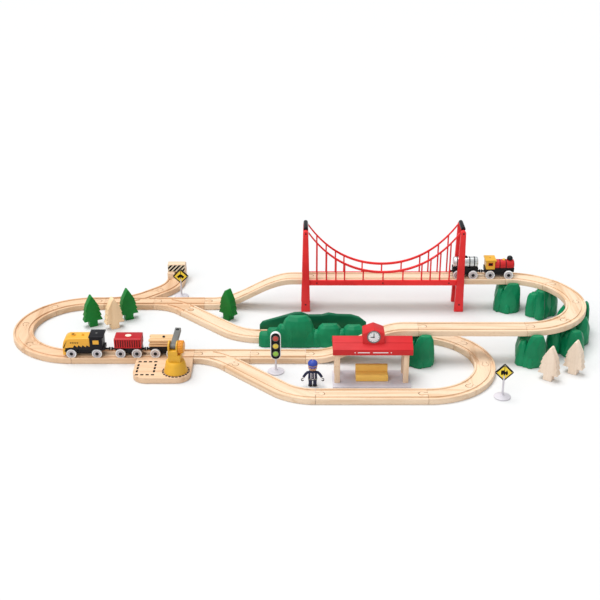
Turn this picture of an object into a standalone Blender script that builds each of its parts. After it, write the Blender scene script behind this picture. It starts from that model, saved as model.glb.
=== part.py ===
"""Wooden railway play set: track, suspension bridge, rocks, station, crane, signs, trees and two trains.

Lengths below are in millimetres; every mesh is scaled to metres when it is made.
X runs along the layout, Y away from its front, Z up. The origin is on the floor under
the middle of the whole set. X numbers below are measured from the middle of the tracks,
which is CENTRE_X away, and are moved when a mesh is made.
"""
import math

import bmesh
import bpy
from mathutils import Matrix, Vector

MM = 0.001
GAP = 0.3                      # play between neighbouring or resting pieces

# Track system
TRACK_W = 40.0
TRACK_H = 12.0
GROOVE_OFF = 13.3              # groove centre from the track's centre line
GROOVE_W = 6.4
GROOVE_D = 3.0
CURVE_R = 121.5                # centre line of a curve
BRANCH_R = 95.0                # centre line of a switch's diverging road
BRANCH_STEP = 155.6            # sideways distance that a branch line covers
RISE = 59.4                    # height of the high line's underside
PEG_R = 5.8
PEG_NECK = 6.0
PEG_REACH = 10.5               # end face to peg centre
SOCKET_PLAY = 0.4
SECTION_TURN = math.radians(9)   # angle between two stations of a curve

# Whole layout
WEST_EDGE = -582.0             # outer sides of the end loops
EAST_EDGE = 578.8
EAST_ROCK_PROUD = 14.0         # the end pillar stands this far outside the high loop
CENTRE_X = (WEST_EDGE + EAST_EDGE + EAST_ROCK_PROUD) / 2
DEPTH = 578.0
HALF_W = TRACK_W / 2
Y_FRONT = -DEPTH / 2 + HALF_W
Y_MID = Y_FRONT + BRANCH_STEP
Y_CUT = Y_FRONT + 2 * CURVE_R
Y_BACK = Y_MID + 2 * CURVE_R
WEST_X = WEST_EDGE + HALF_W + CURVE_R
EAST_X = EAST_EDGE - HALF_W - CURVE_R
STATION_X = 234.6              # centre of the station loop
LOOP_Y = Y_MID + CURVE_R
STATION_Y = Y_FRONT + CURVE_R
SPUR_X = -416.8
SWITCH_BACK_X = -311.8
RAMP_REAR_X = -203.0
DECK_X = 14.2
DECK_END_X = 338.2
HIGH_FRONT_X = 229.2
RAMP_FRONT_X = 13.2
MID_SHORT_X = -94.8
SWITCH_FRONT_X = -203.8
BOARD_X = -313.8
CUTTING_END_X = 135.2
RAIL_TOP = TRACK_H
HIGH_TOP = RISE + TRACK_H

# Vehicles
WHEEL_R = 9.7
WHEEL_IN = 11.1
WHEEL_OUT = 15.5
AXLE_R = 1.5
BORE_R = 1.9
AXLE_Z = TRACK_H - GROOVE_D + GAP + WHEEL_R
CHASSIS_HALF = 9.8
BODY_HALF = 15.6


# ---------------------------------------------------------------- mesh helpers

def clear_scene():
    for old in list(bpy.data.objects):
        bpy.data.objects.remove(old, do_unlink=True)


def material(name, color, roughness, metallic=0.0):
    mat = bpy.data.materials.get(name)
    if mat is None:
        mat = bpy.data.materials.new(name)
        mat.use_nodes = True
        shader = mat.node_tree.nodes["Principled BSDF"]
        shader.inputs["Base Color"].default_value = (*color, 1.0)
        shader.inputs["Roughness"].default_value = roughness
        shader.inputs["Metallic"].default_value = metallic
    return mat


def beech():
    return material("beech", (0.80, 0.56, 0.33), 0.55)


def red_paint():
    return material("red_paint", (0.72, 0.03, 0.03), 0.35)


def green_plastic():
    return material("green_plastic", (0.01, 0.20, 0.08), 0.4)


def green_paint():
    return material("green_paint", (0.02, 0.30, 0.06), 0.45)


def pale_wood():
    return material("pale_wood", (0.88, 0.74, 0.58), 0.6)


def black_plastic():
    return material("black_plastic", (0.02, 0.02, 0.025), 0.4)


def amber_plastic():
    return material("amber_plastic", (0.85, 0.48, 0.03), 0.35)


def grey_wheel():
    return material("grey_wheel", (0.62, 0.60, 0.60), 0.3)


def navy_plastic():
    return material("navy_plastic", (0.02, 0.04, 0.15), 0.4)


def white_plastic():
    return material("white_plastic", (0.8, 0.8, 0.8), 0.4)


def grey_plastic():
    return material("grey_plastic", (0.16, 0.17, 0.18), 0.4)


def silver_paint():
    return material("silver_paint", (0.6, 0.6, 0.62), 0.3, 0.7)


def add_object(name, bm, mat, smooth=True):
    """Put a millimetre bmesh into the scene as a metre object with outward faces."""
    bmesh.ops.recalc_face_normals(bm, faces=bm.faces)
    bmesh.ops.translate(bm, vec=Vector((-CENTRE_X, 0, 0)), verts=bm.verts)
    bmesh.ops.scale(bm, vec=Vector((MM, MM, MM)), verts=bm.verts)
    mesh = bpy.data.meshes.new(name)
    bm.to_mesh(mesh)
    bm.free()
    mesh.materials.append(mat)
    if smooth:
        mesh.shade_smooth()
        mesh.set_sharp_from_angle(angle=math.radians(35))
    obj = bpy.data.objects.new(name, mesh)
    bpy.context.scene.collection.objects.link(obj)
    return obj


def loft(rings):
    """Closed mesh through rings of equal point count, capped at both ends."""
    bm = bmesh.new()
    rows = [[bm.verts.new(point) for point in ring] for ring in rings]
    count = len(rows[0])
    for low, high in zip(rows, rows[1:]):
        for i in range(count):
            j = (i + 1) % count
            bm.faces.new((low[i], low[j], high[j], high[i]))
    bm.faces.new(list(reversed(rows[0])))
    bm.faces.new(rows[-1])
    bmesh.ops.recalc_face_normals(bm, faces=bm.faces)
    return bm


def prism(outline, low, high):
    """A flat XY outline raised from low to high."""
    return loft([[(x, y, z) for x, y in outline] for z in (low, high)])


def side_prism(outline, low, high):
    """A flat XZ outline carried along Y."""
    return loft([[(x, y, z) for x, z in outline] for y in (low, high)])


def end_prism(outline, low, high):
    """A flat YZ outline carried along X."""
    return loft([[(x, y, z) for y, z in outline] for x in (low, high)])


def box(x0, x1, y0, y1, z0, z1):
    return prism([(x0, y0), (x1, y0), (x1, y1), (x0, y1)], z0, z1)


def turned(profile, segments, centre=(0, 0, 0), axis="Z"):
    """Solid of revolution from (radius, height) points; the first and last lie on the axis."""
    bm = bmesh.new()
    low = bm.verts.new((0, 0, profile[0][1]))
    high = bm.verts.new((0, 0, profile[-1][1]))
    rows = []
    for radius, height in profile[1:-1]:
        row = []
        for i in range(segments):
            angle = math.tau * i / segments
            row.append(bm.verts.new((radius * math.cos(angle), radius * math.sin(angle), height)))
        rows.append(row)
    for i in range(segments):
        j = (i + 1) % segments
        bm.faces.new((low, rows[0][j], rows[0][i]))
        bm.faces.new((high, rows[-1][i], rows[-1][j]))
        for one, two in zip(rows, rows[1:]):
            bm.faces.new((one[i], one[j], two[j], two[i]))
    if axis == "X":
        bmesh.ops.rotate(bm, matrix=Matrix.Rotation(math.pi / 2, 3, "Y"), verts=bm.verts)
    if axis == "Y":
        bmesh.ops.rotate(bm, matrix=Matrix.Rotation(-math.pi / 2, 3, "X"), verts=bm.verts)
    bmesh.ops.translate(bm, vec=Vector(centre), verts=bm.verts)
    bmesh.ops.recalc_face_normals(bm, faces=bm.faces)
    return bm


def cylinder(radius, low, high, segments, centre=(0, 0, 0), axis="Z"):
    return turned([(0, low), (radius, low), (radius, high), (0, high)], segments, centre, axis)


def combine(bm, others, operation):
    """Unite with, or cut by, each other solid in turn."""
    for other in others:
        pair = []
        for part in (bm, other):
            mesh = bpy.data.meshes.new("boolean")
            part.to_mesh(mesh)
            part.free()
            obj = bpy.data.objects.new("boolean", mesh)
            bpy.context.scene.collection.objects.link(obj)
            pair.append(obj)
        modifier = pair[0].modifiers.new("boolean", "BOOLEAN")
        modifier.object = pair[1]
        modifier.operation = operation
        graph = bpy.context.evaluated_depsgraph_get()
        bm = bmesh.new()
        bm.from_object(pair[0], graph)
        for obj in pair:
            bpy.data.meshes.remove(obj.data)
        bmesh.ops.remove_doubles(bm, verts=bm.verts, dist=0.002)
        bmesh.ops.dissolve_limit(bm, angle_limit=0.001, verts=bm.verts, edges=bm.edges)
    return bm


def unite(bm, *others):
    return combine(bm, others, "UNION")


def cut(bm, *others):
    return combine(bm, others, "DIFFERENCE")


def move(bm, x=0.0, y=0.0, z=0.0, turn=0.0, axis="Z"):
    """Turn about the origin, then shift."""
    bmesh.ops.rotate(bm, matrix=Matrix.Rotation(turn, 3, axis), verts=bm.verts)
    bmesh.ops.translate(bm, vec=Vector((x, y, z)), verts=bm.verts)
    return bm


def arc_points(cx, cy, radius, start, end, steps):
    return [(cx + radius * math.cos(start + (end - start) * i / steps),
             cy + radius * math.sin(start + (end - start) * i / steps)) for i in range(steps + 1)]


# ---------------------------------------------------------------- track

def path(x, y, heading, *moves, z=0.0):
    """Centre line stations (x, y, z, heading) from moves: a length, or (radius, turn)."""
    stations = [(x, y, z, heading)]
    for step in moves:
        if isinstance(step, tuple):
            radius, turn = step
            side = math.copysign(1, turn)
            cx = x - side * radius * math.sin(heading)
            cy = y + side * radius * math.cos(heading)
            count = max(1, round(abs(turn) / SECTION_TURN))
            for i in range(1, count + 1):
                angle = heading + turn * i / count
                x = cx + side * radius * math.sin(angle)
                y = cy - side * radius * math.cos(angle)
                stations.append((x, y, z, angle))
            heading += turn
        else:
            x += step * math.cos(heading)
            y += step * math.sin(heading)
            stations.append((x, y, z, heading))
    return stations


def ramp_path(x0, x1, y):
    """Straight road that climbs by RISE between two short level ends."""
    flat_low, flat_high, count = 16.0, 26.0, 14
    length = abs(x1 - x0)
    side = math.copysign(1, x1 - x0)
    slope = length - flat_low - flat_high
    stations = [(x0, y, 0.0, 0.0)]
    for i in range(count + 1):
        t = i / count
        height = RISE * (1 - math.cos(math.pi * t)) / 2
        stations.append((x0 + side * (flat_low + slope * t), y, height, 0.0))
    stations.append((x1, y, RISE, 0.0))
    return stations if side > 0 else stations[::-1]


def trimmed(stations, start, end):
    """Move the first and last station inwards along their headings."""
    x, y, z, a = stations[0]
    first = (x + start * math.cos(a), y + start * math.sin(a), z, a)
    x, y, z, a = stations[-1]
    last = (x - end * math.cos(a), y - end * math.sin(a), z, a)
    return [first] + stations[1:-1] + [last]


def sweep(stations, section):
    """Carry a section of (offset to the left, height) points along the stations."""
    rings = []
    for x, y, z, a in stations:
        rings.append([(x - off * math.sin(a), y + off * math.cos(a), z + h) for off, h in section])
    return loft(rings)


def plain_section():
    return [(-HALF_W, 0), (-HALF_W, TRACK_H), (HALF_W, TRACK_H), (HALF_W, 0)]


def grooved_section():
    low = TRACK_H - GROOVE_D
    points = [(-HALF_W, 0), (-HALF_W, TRACK_H)]
    for side in (-1, 1):
        left = side * GROOVE_OFF - GROOVE_W / 2
        right = left + GROOVE_W
        points += [(left, TRACK_H), (left, low), (right, low), (right, TRACK_H)]
    return points + [(HALF_W, TRACK_H), (HALF_W, 0)]


def groove_cutters(stations):
    over = 1.0
    longer = trimmed(stations, -over, -over)
    cutters = []
    for side in (-1, 1):
        left = side * GROOVE_OFF - GROOVE_W / 2
        right = left + GROOVE_W
        low = TRACK_H - GROOVE_D
        section = [(left, low), (left, TRACK_H + over), (right, TRACK_H + over), (right, low)]
        cutters.append(sweep(longer, section))
    return cutters


def key_outline(neck, radius, root):
    """Round-headed peg along +X: a neck from root, then most of a circle."""
    start = math.asin(neck / 2 / radius)
    head = arc_points(PEG_REACH, 0, radius, math.pi + start, 3 * math.pi - start, 14)
    return [(root, neck / 2), (root, -neck / 2)] + head


def end_pose(stations, last):
    """Place and outward heading of one end of a road."""
    x, y, z, a = stations[-1] if last else stations[0]
    return (x, y, z, a) if last else (x, y, z, a + math.pi)


def peg(pose):
    x, y, z, a = pose
    bm = prism(key_outline(PEG_NECK, PEG_R, -3.0), 0.2, TRACK_H - 0.2)
    return move(bm, x, y, z, turn=a)


def socket(pose):
    x, y, z, a = pose
    outline = key_outline(PEG_NECK + 2 * SOCKET_PLAY, PEG_R + SOCKET_PLAY, -2.0)
    bm = prism(outline, -1.0, TRACK_H + 1.0)
    return move(bm, x, y, z, turn=a + math.pi)


def joined(bm, pegs=(), sockets=()):
    if pegs:
        bm = unite(bm, *[peg(pose) for pose in pegs])
    if sockets:
        bm = cut(bm, *[socket(pose) for pose in sockets])
    return bm


def road(name, stations, start="socket", end="peg"):
    """One plain piece of track; each end has a peg, a socket or nothing."""
    stations = trimmed(stations, GAP / 2, GAP / 2)
    kinds = ((start, end_pose(stations, False)), (end, end_pose(stations, True)))
    pegs = [pose for kind, pose in kinds if kind == "peg"]
    sockets = [pose for kind, pose in kinds if kind == "socket"]
    bm = joined(sweep(stations, grooved_section()), pegs, sockets)
    add_object(name, bm, beech())


def switch(name, straight, branch, straight_end, branch_end):
    """A piece where a second road leaves the first."""
    straight = trimmed(straight, GAP / 2, GAP / 2)
    branch = trimmed(branch, GAP / 2, GAP / 2)
    bm = unite(sweep(straight, plain_section()), sweep(branch, plain_section()))
    bm = cut(bm, *groove_cutters(straight), *groove_cutters(branch))
    ends = ((straight_end, end_pose(straight, True)), (branch_end, end_pose(branch, True)))
    pegs = [pose for kind, pose in ends if kind == "peg"]
    sockets = [pose for kind, pose in ends if kind == "socket"]
    sockets.append(end_pose(straight, False))
    add_object(name, joined(bm, pegs, sockets), beech())


QUARTER = math.pi / 2
EIGHTH = math.pi / 4
BRANCH_RISE = BRANCH_R * (1 - math.cos(EIGHTH))
BRANCH_DIAGONAL = (BRANCH_STEP - 2 * BRANCH_RISE) / math.sin(EIGHTH)
BRANCH_LEAD = 12.0             # part of the diagonal that belongs to the switch
SPUR_R = 130.0
SPUR_STRAIGHT = 34.0
SPUR_LEFT = CURVE_R - SPUR_R * (1 - math.cos(EIGHTH)) - SPUR_STRAIGHT * math.sin(EIGHTH)
SPUR_END_R = SPUR_LEFT / math.cos(EIGHTH)


def build_branch(switch_name, branch_name, x, y, length):
    straight = path(x, y, 0, length)
    turnout = path(x, y, 0, (BRANCH_R, -EIGHTH), BRANCH_LEAD)
    switch(switch_name, straight, turnout, "peg", "peg")
    bx, by, _, heading = turnout[-1]
    road(branch_name, path(bx, by, heading, BRANCH_DIAGONAL - BRANCH_LEAD, (BRANCH_R, EIGHTH)))


def branch_end_x(x):
    return x + 2 * BRANCH_R * math.sin(EIGHTH) + BRANCH_DIAGONAL * math.cos(EIGHTH)


def build_tracks():
    west = path(BOARD_X, Y_MID, math.pi, BOARD_X - WEST_X, (CURVE_R, -math.pi), SPUR_X - WEST_X)
    road("track_west_loop", west)
    spur_turn = path(SPUR_X, Y_BACK, 0, (SPUR_R, EIGHTH), SPUR_STRAIGHT / 2)
    spur_straight = path(SPUR_X, Y_BACK, 0, SWITCH_BACK_X - SPUR_X)
    switch("track_switch_spur", spur_straight, spur_turn, "peg", "peg")
    sx, sy, _, heading = spur_turn[-1]
    spur_end = path(sx, sy, heading, SPUR_STRAIGHT / 2, (SPUR_END_R, EIGHTH))
    road("track_spur_curve", spur_end)
    build_branch("track_switch_back", "track_back_branch", SWITCH_BACK_X, Y_BACK,
                 RAMP_REAR_X - SWITCH_BACK_X)
    build_branch("track_switch_front", "track_front_branch", SWITCH_FRONT_X, Y_MID,
                 MID_SHORT_X - SWITCH_FRONT_X)
    road("track_mid_short", path(MID_SHORT_X, Y_MID, 0, RAMP_FRONT_X - MID_SHORT_X))
    road("track_ramp_rear", ramp_path(RAMP_REAR_X, DECK_X, Y_BACK))
    road("track_ramp_front", ramp_path(RAMP_FRONT_X, HIGH_FRONT_X, Y_MID))
    road("track_bridge_deck", path(DECK_X, Y_BACK, 0, DECK_END_X - DECK_X, z=RISE))
    high_loop = path(DECK_END_X, Y_BACK, 0, EAST_X - DECK_END_X, (CURVE_R, -math.pi), z=RISE)
    road("track_high_loop", high_loop, end="socket")
    road("track_high_front", path(HIGH_FRONT_X, Y_MID, 0, EAST_X - HIGH_FRONT_X, z=RISE))
    cut_start = branch_end_x(SWITCH_BACK_X)
    road("track_cutting", path(cut_start, Y_CUT, 0, CUTTING_END_X - cut_start))
    station_end = branch_end_x(SWITCH_FRONT_X)
    station = path(CUTTING_END_X, Y_CUT, 0, STATION_X - CUTTING_END_X, (CURVE_R, -math.pi),
                   STATION_X - station_end)
    road("track_station_loop", station, end="socket")
    return spur_end[-1]


BOARD_FRONT = 98.0             # board's front edge from the track's centre line
BOARD_CORNER_R = 27.0


def build_crane_board():
    """A straight piece of track that widens into a board for the crane."""
    stations = trimmed(path(BOARD_X, Y_MID, 0, SWITCH_FRONT_X - BOARD_X), GAP / 2, GAP / 2)
    left, right = stations[0][0], stations[-1][0]
    front = Y_MID - BOARD_FRONT
    corner = BOARD_CORNER_R
    outline = [(right, Y_MID - 5), (left, Y_MID - 5)]
    outline += arc_points(left + corner, front + corner, corner, math.pi, 1.5 * math.pi, 6)
    outline += arc_points(right - corner, front + corner, corner, 1.5 * math.pi, math.tau, 6)
    bm = unite(sweep(stations, plain_section()), prism(outline, 0, TRACK_H))
    bm = cut(bm, *groove_cutters(stations))
    bm = joined(bm, [end_pose(stations, True)], [end_pose(stations, False)])
    add_object("crane_board", bm, beech())


def build_buffer(stop):
    """End block behind the spur, with an upright panel."""
    x, y, _, _ = stop
    back = DEPTH / 2
    front = y + GAP / 2
    side = [(front, 0), (back, 0), (back, 36), (back - 12, 42), (front + 8, 42), (front + 8, 24), (front, 24)]
    block = end_prism(side, x - HALF_W, x + HALF_W)
    bm = cut(block, socket((x, front, 0, -QUARTER)))
    add_object("buffer_stop", bm, beech())


# ---------------------------------------------------------------- bridge

TOWER_HALF_FOOT = 9.5
TOWER_HALF_TOP = 5.6
TOWER_TOP = 184.0
BAR_R = 4.7                    # round bar between the leg tops
BAR_TOP = 190.0
LEG_IN = HALF_W + 0.6
LEG_OUT = LEG_IN + 9.4
WEST_TOWER_X = DECK_X
EAST_TOWER_X = 340.0
TRUSS_IN = HALF_W + GAP
TRUSS_OUT = TRUSS_IN + 5.0
CABLE_LOW = 89.5
CABLE_HIGH = 178.0
CABLE_HALF = 2.4
CABLE_STEEP = 1.9              # catenary steepness
HANGER_AT = (0.0, 41.8, 81.0, 99.3, 119.2, 139.3)   # distances each way from the bridge's middle
HANGER_HALF = 1.6
BEAM_LOW = RISE
BEAM_HIGH = RISE + 11.4


def tower_half(z):
    return TOWER_HALF_FOOT + (TOWER_HALF_TOP - TOWER_HALF_FOOT) * min(z, TOWER_TOP) / TOWER_TOP


def tower_leg(side):
    outline = [(-TOWER_HALF_FOOT, 0), (TOWER_HALF_FOOT, 0)]
    outline += arc_points(0, TOWER_TOP - TOWER_HALF_TOP, TOWER_HALF_TOP, 0, math.pi, 8)
    return side_prism(outline, *sorted((side * LEG_IN, side * LEG_OUT)))


def build_tower(name, x):
    bm = tower_leg(-1)
    under = side_prism([(-7, RISE - 12), (7, RISE - 12), (7, RISE - GAP), (-7, RISE - GAP)],
                       -LEG_IN - 2, LEG_IN + 2)
    bar = cylinder(BAR_R, -LEG_IN - 3, LEG_IN + 3, 20, (0, 0, BAR_TOP - BAR_R), "Y")
    bm = unite(bm, under, bar, tower_leg(1))
    add_object(name, move(bm, x, Y_BACK), red_paint())


def cable_height(x):
    middle = (WEST_TOWER_X + EAST_TOWER_X) / 2
    t = (x - middle) / ((EAST_TOWER_X - WEST_TOWER_X) / 2 - TOWER_HALF_TOP)
    lift = (math.cosh(CABLE_STEEP * t) - 1) / (math.cosh(CABLE_STEEP) - 1)
    return CABLE_LOW + (CABLE_HIGH - CABLE_LOW) * lift


def build_truss(name, side):
    """Deck beam, hanging cable and hangers in one flat frame beside the deck."""
    y0, y1 = sorted((side * TRUSS_IN, side * TRUSS_OUT))
    inner = (y0 + 0.8, y1 - 0.8)
    x0 = WEST_TOWER_X + tower_half(RISE) + GAP
    x1 = EAST_TOWER_X - tower_half(RISE) - GAP
    bm = box(x0, x1, y0, y1, BEAM_LOW, BEAM_HIGH)
    count = 24
    ca = WEST_TOWER_X + TOWER_HALF_TOP + GAP + 0.4
    cb = EAST_TOWER_X - TOWER_HALF_TOP - GAP - 0.4
    line = [(ca + (cb - ca) * i / count) for i in range(count + 1)]
    lower = [(x, cable_height(x) - CABLE_HALF) for x in line]
    upper = [(x, cable_height(x) + CABLE_HALF) for x in reversed(line)]
    cable = loft([[(x, y, z) for x, z in lower + upper] for y in inner])
    posts = []
    middle = (WEST_TOWER_X + EAST_TOWER_X) / 2
    for x in sorted({middle + way * step for step in HANGER_AT for way in (-1, 1)}):
        top = cable_height(x)
        posts.append(box(x - HANGER_HALF, x + HANGER_HALF, inner[0] + 0.5, inner[1] - 0.5,
                         BEAM_HIGH - 3, top))
    bm = unite(bm, *posts, cable)
    add_object(name, move(bm, 0, Y_BACK), red_paint())


# ---------------------------------------------------------------- rocks

def wave(i, phase, low, high):
    """Uneven but repeatable value for facet number i."""
    value = math.sin(2.399 * i + phase) * 0.6 + math.sin(4.1 * i + 1.7 * phase) * 0.4
    return low + (high - low) * (value + 1) / 2


PILLAR_SIDES = 9
PILLAR_RINGS = ((0.0, 1.0), (0.3, 0.97), (0.66, 0.80), (1.0, 0.62))


def build_pillar(name, x, y, turn, phase, long_reach=40.0, short_reach=30.0):
    """Faceted rock that carries a track joint; its long reach is across the track."""
    top = RISE - GAP
    rings = []
    for level, (part, spread) in enumerate(PILLAR_RINGS):
        ring = []
        for i in range(PILLAR_SIDES):
            angle = math.tau * i / PILLAR_SIDES
            uneven = 1.0 if level == 0 else wave(i + level, phase, 0.9, 1.0)
            across = long_reach * spread * uneven * math.sin(angle)
            along = short_reach * (0.72 + 0.28 * spread) * uneven * math.cos(angle)
            ring.append((along, across, top * part))
        rings.append(ring)
    bm = loft(rings)
    add_object(name, move(bm, x, y, turn=turn), green_plastic(), smooth=False)


def build_pillars():
    build_pillar("pillar_west", HIGH_FRONT_X + 4, Y_MID, 0, 0.4)
    build_pillar("pillar_front", EAST_X + 9, Y_MID, 0, 1.9)
    build_pillar("pillar_back", EAST_X + 6, Y_BACK, 0, 3.1, 42.0)
    build_pillar("pillar_loop_back", EAST_X + 79, LOOP_Y + 83, EIGHTH - QUARTER, 4.0, 38.0, 28.0)
    build_pillar("pillar_loop_front", EAST_X + 91, LOOP_Y - 85, -EIGHTH - QUARTER, 2.6, 40.0, 33.0)
    build_pillar("pillar_loop_end", EAST_X + CURVE_R, LOOP_Y + 6, -QUARTER, 5.2, HALF_W + EAST_ROCK_PROUD, 30.0)


CUTTING_FRONT = (
    (-80, 16, 20), (-66, 34, 21), (-48, 40, 21), (-26, 47, 21), (-4, 66, 22), (12, 67, 22),
    (28, 56, 22), (46, 38, 20), (58, 49, 22), (76, 48, 22), (92, 37, 20), (104, 47, 22), (134, 44, 20),
)
CUTTING_BACK = (
    (-80, 24, 12), (-62, 30, 13), (-38, 38, 14), (-10, 48, 15), (16, 43, 15), (46, 43, 16),
    (78, 44, 16), (106, 42, 15), (137, 26, 12),
)


def build_cutting_wall(name, rows, side):
    """Row of rocks beside the track; each row is x, height and thickness."""
    near = HALF_W + 1.2
    rings = []
    for i, (x, height, thick) in enumerate(rows):
        uneven = wave(i, 0.7, 0.86, 1.0)
        far = near + thick
        rings.append([
            (x, side * near, 0),
            (x, side * near, height * 0.82),
            (x, side * (near + thick * 0.3), height),
            (x, side * (near + thick * 0.62 * uneven), height * 0.9),
            (x, side * (far - 1.5 * uneven), height * 0.42),
            (x, side * far, 0),
        ])
    add_object(name, move(loft(rings), 0, Y_CUT), green_plastic(), smooth=False)


# ---------------------------------------------------------------- station

STATION_X0 = 62.5
STATION_X1 = 210.5
BASE_H = 2.4
BASE_FRONT = Y_FRONT + 41.0
BASE_BACK = Y_FRONT + 106.0
POST = 10.0
POST_X = (71.6, 199.4)
EAVE_Z = 63.5
FASCIA_H = 11.4
RIDGE_Y = Y_FRONT + 79.0
RIDGE_Z = 89.7
ROOF_HALF = 29.0               # ridge to eave, seen from above
POST_IN = 9.5                  # eave to the middle of a post
GABLE_X = 138.0
GABLE_HALF = 20.0
GABLE_DEPTH = 33.0
GABLE_SIDE = 102.0             # height of the gable's shoulders and of its tip
GABLE_TIP = 110.0
CLOCK_Z = 95.4
CLOCK_R = 12.5
BENCH_X0 = 106.5
BENCH_X1 = 167.0


def build_station():
    eave = RIDGE_Y - ROOF_HALF
    base = box(STATION_X0 + 0.5, STATION_X1 - 1.5, BASE_FRONT, BASE_BACK, 0, BASE_H)
    posts = []
    for x in POST_X:
        for y in (eave + POST_IN, RIDGE_Y + ROOF_HALF - POST_IN):
            posts.append(box(x - POST / 2, x + POST / 2, y - POST / 2, y + POST / 2,
                             BASE_H - 1, EAVE_Z - GAP))
    add_object("station_base", unite(base, *posts), beech())

    outline = [
        (eave, EAVE_Z), (RIDGE_Y + ROOF_HALF, EAVE_Z), (RIDGE_Y + ROOF_HALF, EAVE_Z + FASCIA_H),
        (RIDGE_Y, RIDGE_Z), (eave, EAVE_Z + FASCIA_H),
    ]
    roof = end_prism(outline, STATION_X0, STATION_X1)
    left, right = GABLE_X - GABLE_HALF, GABLE_X + GABLE_HALF
    front = RIDGE_Y - GABLE_DEPTH / 2
    gable = [(left, 76), (right, 76), (right, GABLE_SIDE), (GABLE_X, GABLE_TIP), (left, GABLE_SIDE)]
    tower = side_prism(gable, front, front + GABLE_DEPTH)
    face = cylinder(CLOCK_R, front - 1.6, front + 3, 24, (GABLE_X, 0, CLOCK_Z), "Y")
    add_object("station_roof", unite(roof, tower, face), red_paint())

    y = Y_FRONT + 61
    low = BASE_H + GAP
    side = [(y, low), (y + 26, low), (y + 26, 28), (y + 19, 28), (y + 16, 15.5), (y, 15.5)]
    add_object("station_bench", end_prism(side, BENCH_X0, BENCH_X1), amber_plastic())


# ---------------------------------------------------------------- signs, figure, trees

def sign_stand(x, y, base_r, pole_top):
    base = turned([(0, 0), (base_r, 0), (base_r, 2.2), (base_r - 1.5, 3.4), (4.5, 4.2), (3.4, 6),
                   (0, 6)], 24, (x, y, 0))
    pole = cylinder(1.9, 3, pole_top, 12, (x, y, 0))
    return unite(base, pole)


def build_traffic_light():
    x, y = -43.8, Y_FRONT + 104.5
    stand = sign_stand(x, y, 16.0, 31)
    half, low, high = 10.0, 27.6, 85.0
    outline = arc_points(x, high - half, half, 0, math.pi, 10)
    outline += arc_points(x, low + half, half, math.pi, math.tau, 10)
    case = side_prism(outline, y - 3.5, y + 3.5)
    lamps = []
    for z in (72.4, 56.2, 40.0):
        lamps.append(cylinder(5.2, y - 4.8, y, 16, (x, 0, z), "Y"))
    add_object("traffic_light", unite(stand, case, *lamps), black_plastic())


def build_road_sign(name, x, y, height):
    stand = sign_stand(x, y, 15.5, height - 8)
    half = 17.6
    outline = [(x, height - half), (x + half, height), (x, height + half), (x - half, height)]
    plate = side_prism(outline, y - 1.4, y + 1.4)
    add_object(name, unite(stand, plate), white_plastic())


FIGURE_X = 25.7
FIGURE_Y = Y_FRONT + 50.5
FIGURE_HIP = 13.0
FIGURE_NECK = 33.0


def build_figure():
    """Toy railway worker: legs, jacket and arms in one piece, head and cap in another."""
    x, y = FIGURE_X, FIGURE_Y
    legs = []
    for side in (-1, 1):
        cx = x + side * 4.4
        legs.append(box(cx - 3.8, cx + 3.8, y - 4.2, y + 3.8, 0, FIGURE_HIP + 2))
    jacket = [(x - 8.2, FIGURE_HIP), (x + 8.2, FIGURE_HIP), (x + 8.6, 22), (x + 7, FIGURE_NECK - 1),
              (x - 7, FIGURE_NECK - 1), (x - 8.6, 22)]
    body = side_prism(jacket, y - 5.2, y + 5.2)
    neck = cylinder(2.6, 28, FIGURE_NECK + 3.5, 12, (x, y, 0))
    arms = []
    for side in (-1, 1):
        outline = [(6, 31), (12.5, 28), (17.5, 20.5), (21.7, 16), (21, 10.5), (16.5, 10), (14.5, 15.5),
                   (10, 22.5), (6, 24.5)]
        arms.append(side_prism([(x + side * across, z) for across, z in outline], y - 2.6, y + 2.6))
    add_object("figure_body", unite(body, *legs, neck, *arms), navy_plastic())

    head = turned([(0, FIGURE_NECK), (6.8, FIGURE_NECK), (8.2, 36), (8.4, 41), (9.2, 42.5),
                   (9.0, 48), (6.6, 52.6), (0, 54.4)], 18, (x, y, 0))
    peak = prism([(x - 7.2, y - 5), (x - 6.2, y - 10.5), (x, y - 12.6), (x + 6.2, y - 10.5), (x + 7.2, y - 5)],
                 42.0, 43.6)
    bore = cylinder(2.9, 20, FIGURE_NECK + 4, 12, (x, y, 0))
    add_object("figure_head", cut(unite(head, peak), bore), navy_plastic())


TREE_HEIGHT = 70.0
TREE_TRUNK = 8.5
TREE_TIERS = ((13.0, 20.0), (24.0, 17.2), (34.0, 14.6), (45.0, 11.8))   # foot height and half width
TREE_WAIST = 0.70              # narrowest part of a tier against its skirt


def tree_outline():
    """Right half of a tiered fir, foot to tip, mirrored for the left half."""
    right = [(TREE_TRUNK, 0.0), (TREE_TRUNK, TREE_TIERS[0][0])]
    for (foot, width), above in zip(TREE_TIERS, TREE_TIERS[1:] + (None,)):
        right.append((width, foot))
        if above:
            right.append((width * TREE_WAIST, above[0]))
    left = [(-x, z) for x, z in reversed(right)]
    return right + [(0.0, TREE_HEIGHT)] + left


TREES = (
    ("tree_green_west", -427.5, 36.0, 0.45, "green"),
    ("tree_natural_west", -381.5, 26.0, 0.5, "wood"),
    ("tree_green_middle", -358.0, 68.5, 0.45, "green"),
    ("tree_green_east", -148.0, 67.0, -0.7, "green"),
    ("tree_natural_south", 470.6, -193.5, -0.6, "wood"),
    ("tree_natural_east", 523.0, -168.5, -0.6, "wood"),
)
TREE_HALF = 8.0


def build_trees():
    for name, x, y, turn, kind in TREES:
        bm = side_prism(tree_outline(), -TREE_HALF, TREE_HALF)
        mat = green_paint() if kind == "green" else pale_wood()
        add_object(name, move(bm, x, y, turn=turn), mat)


# ---------------------------------------------------------------- crane

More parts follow.
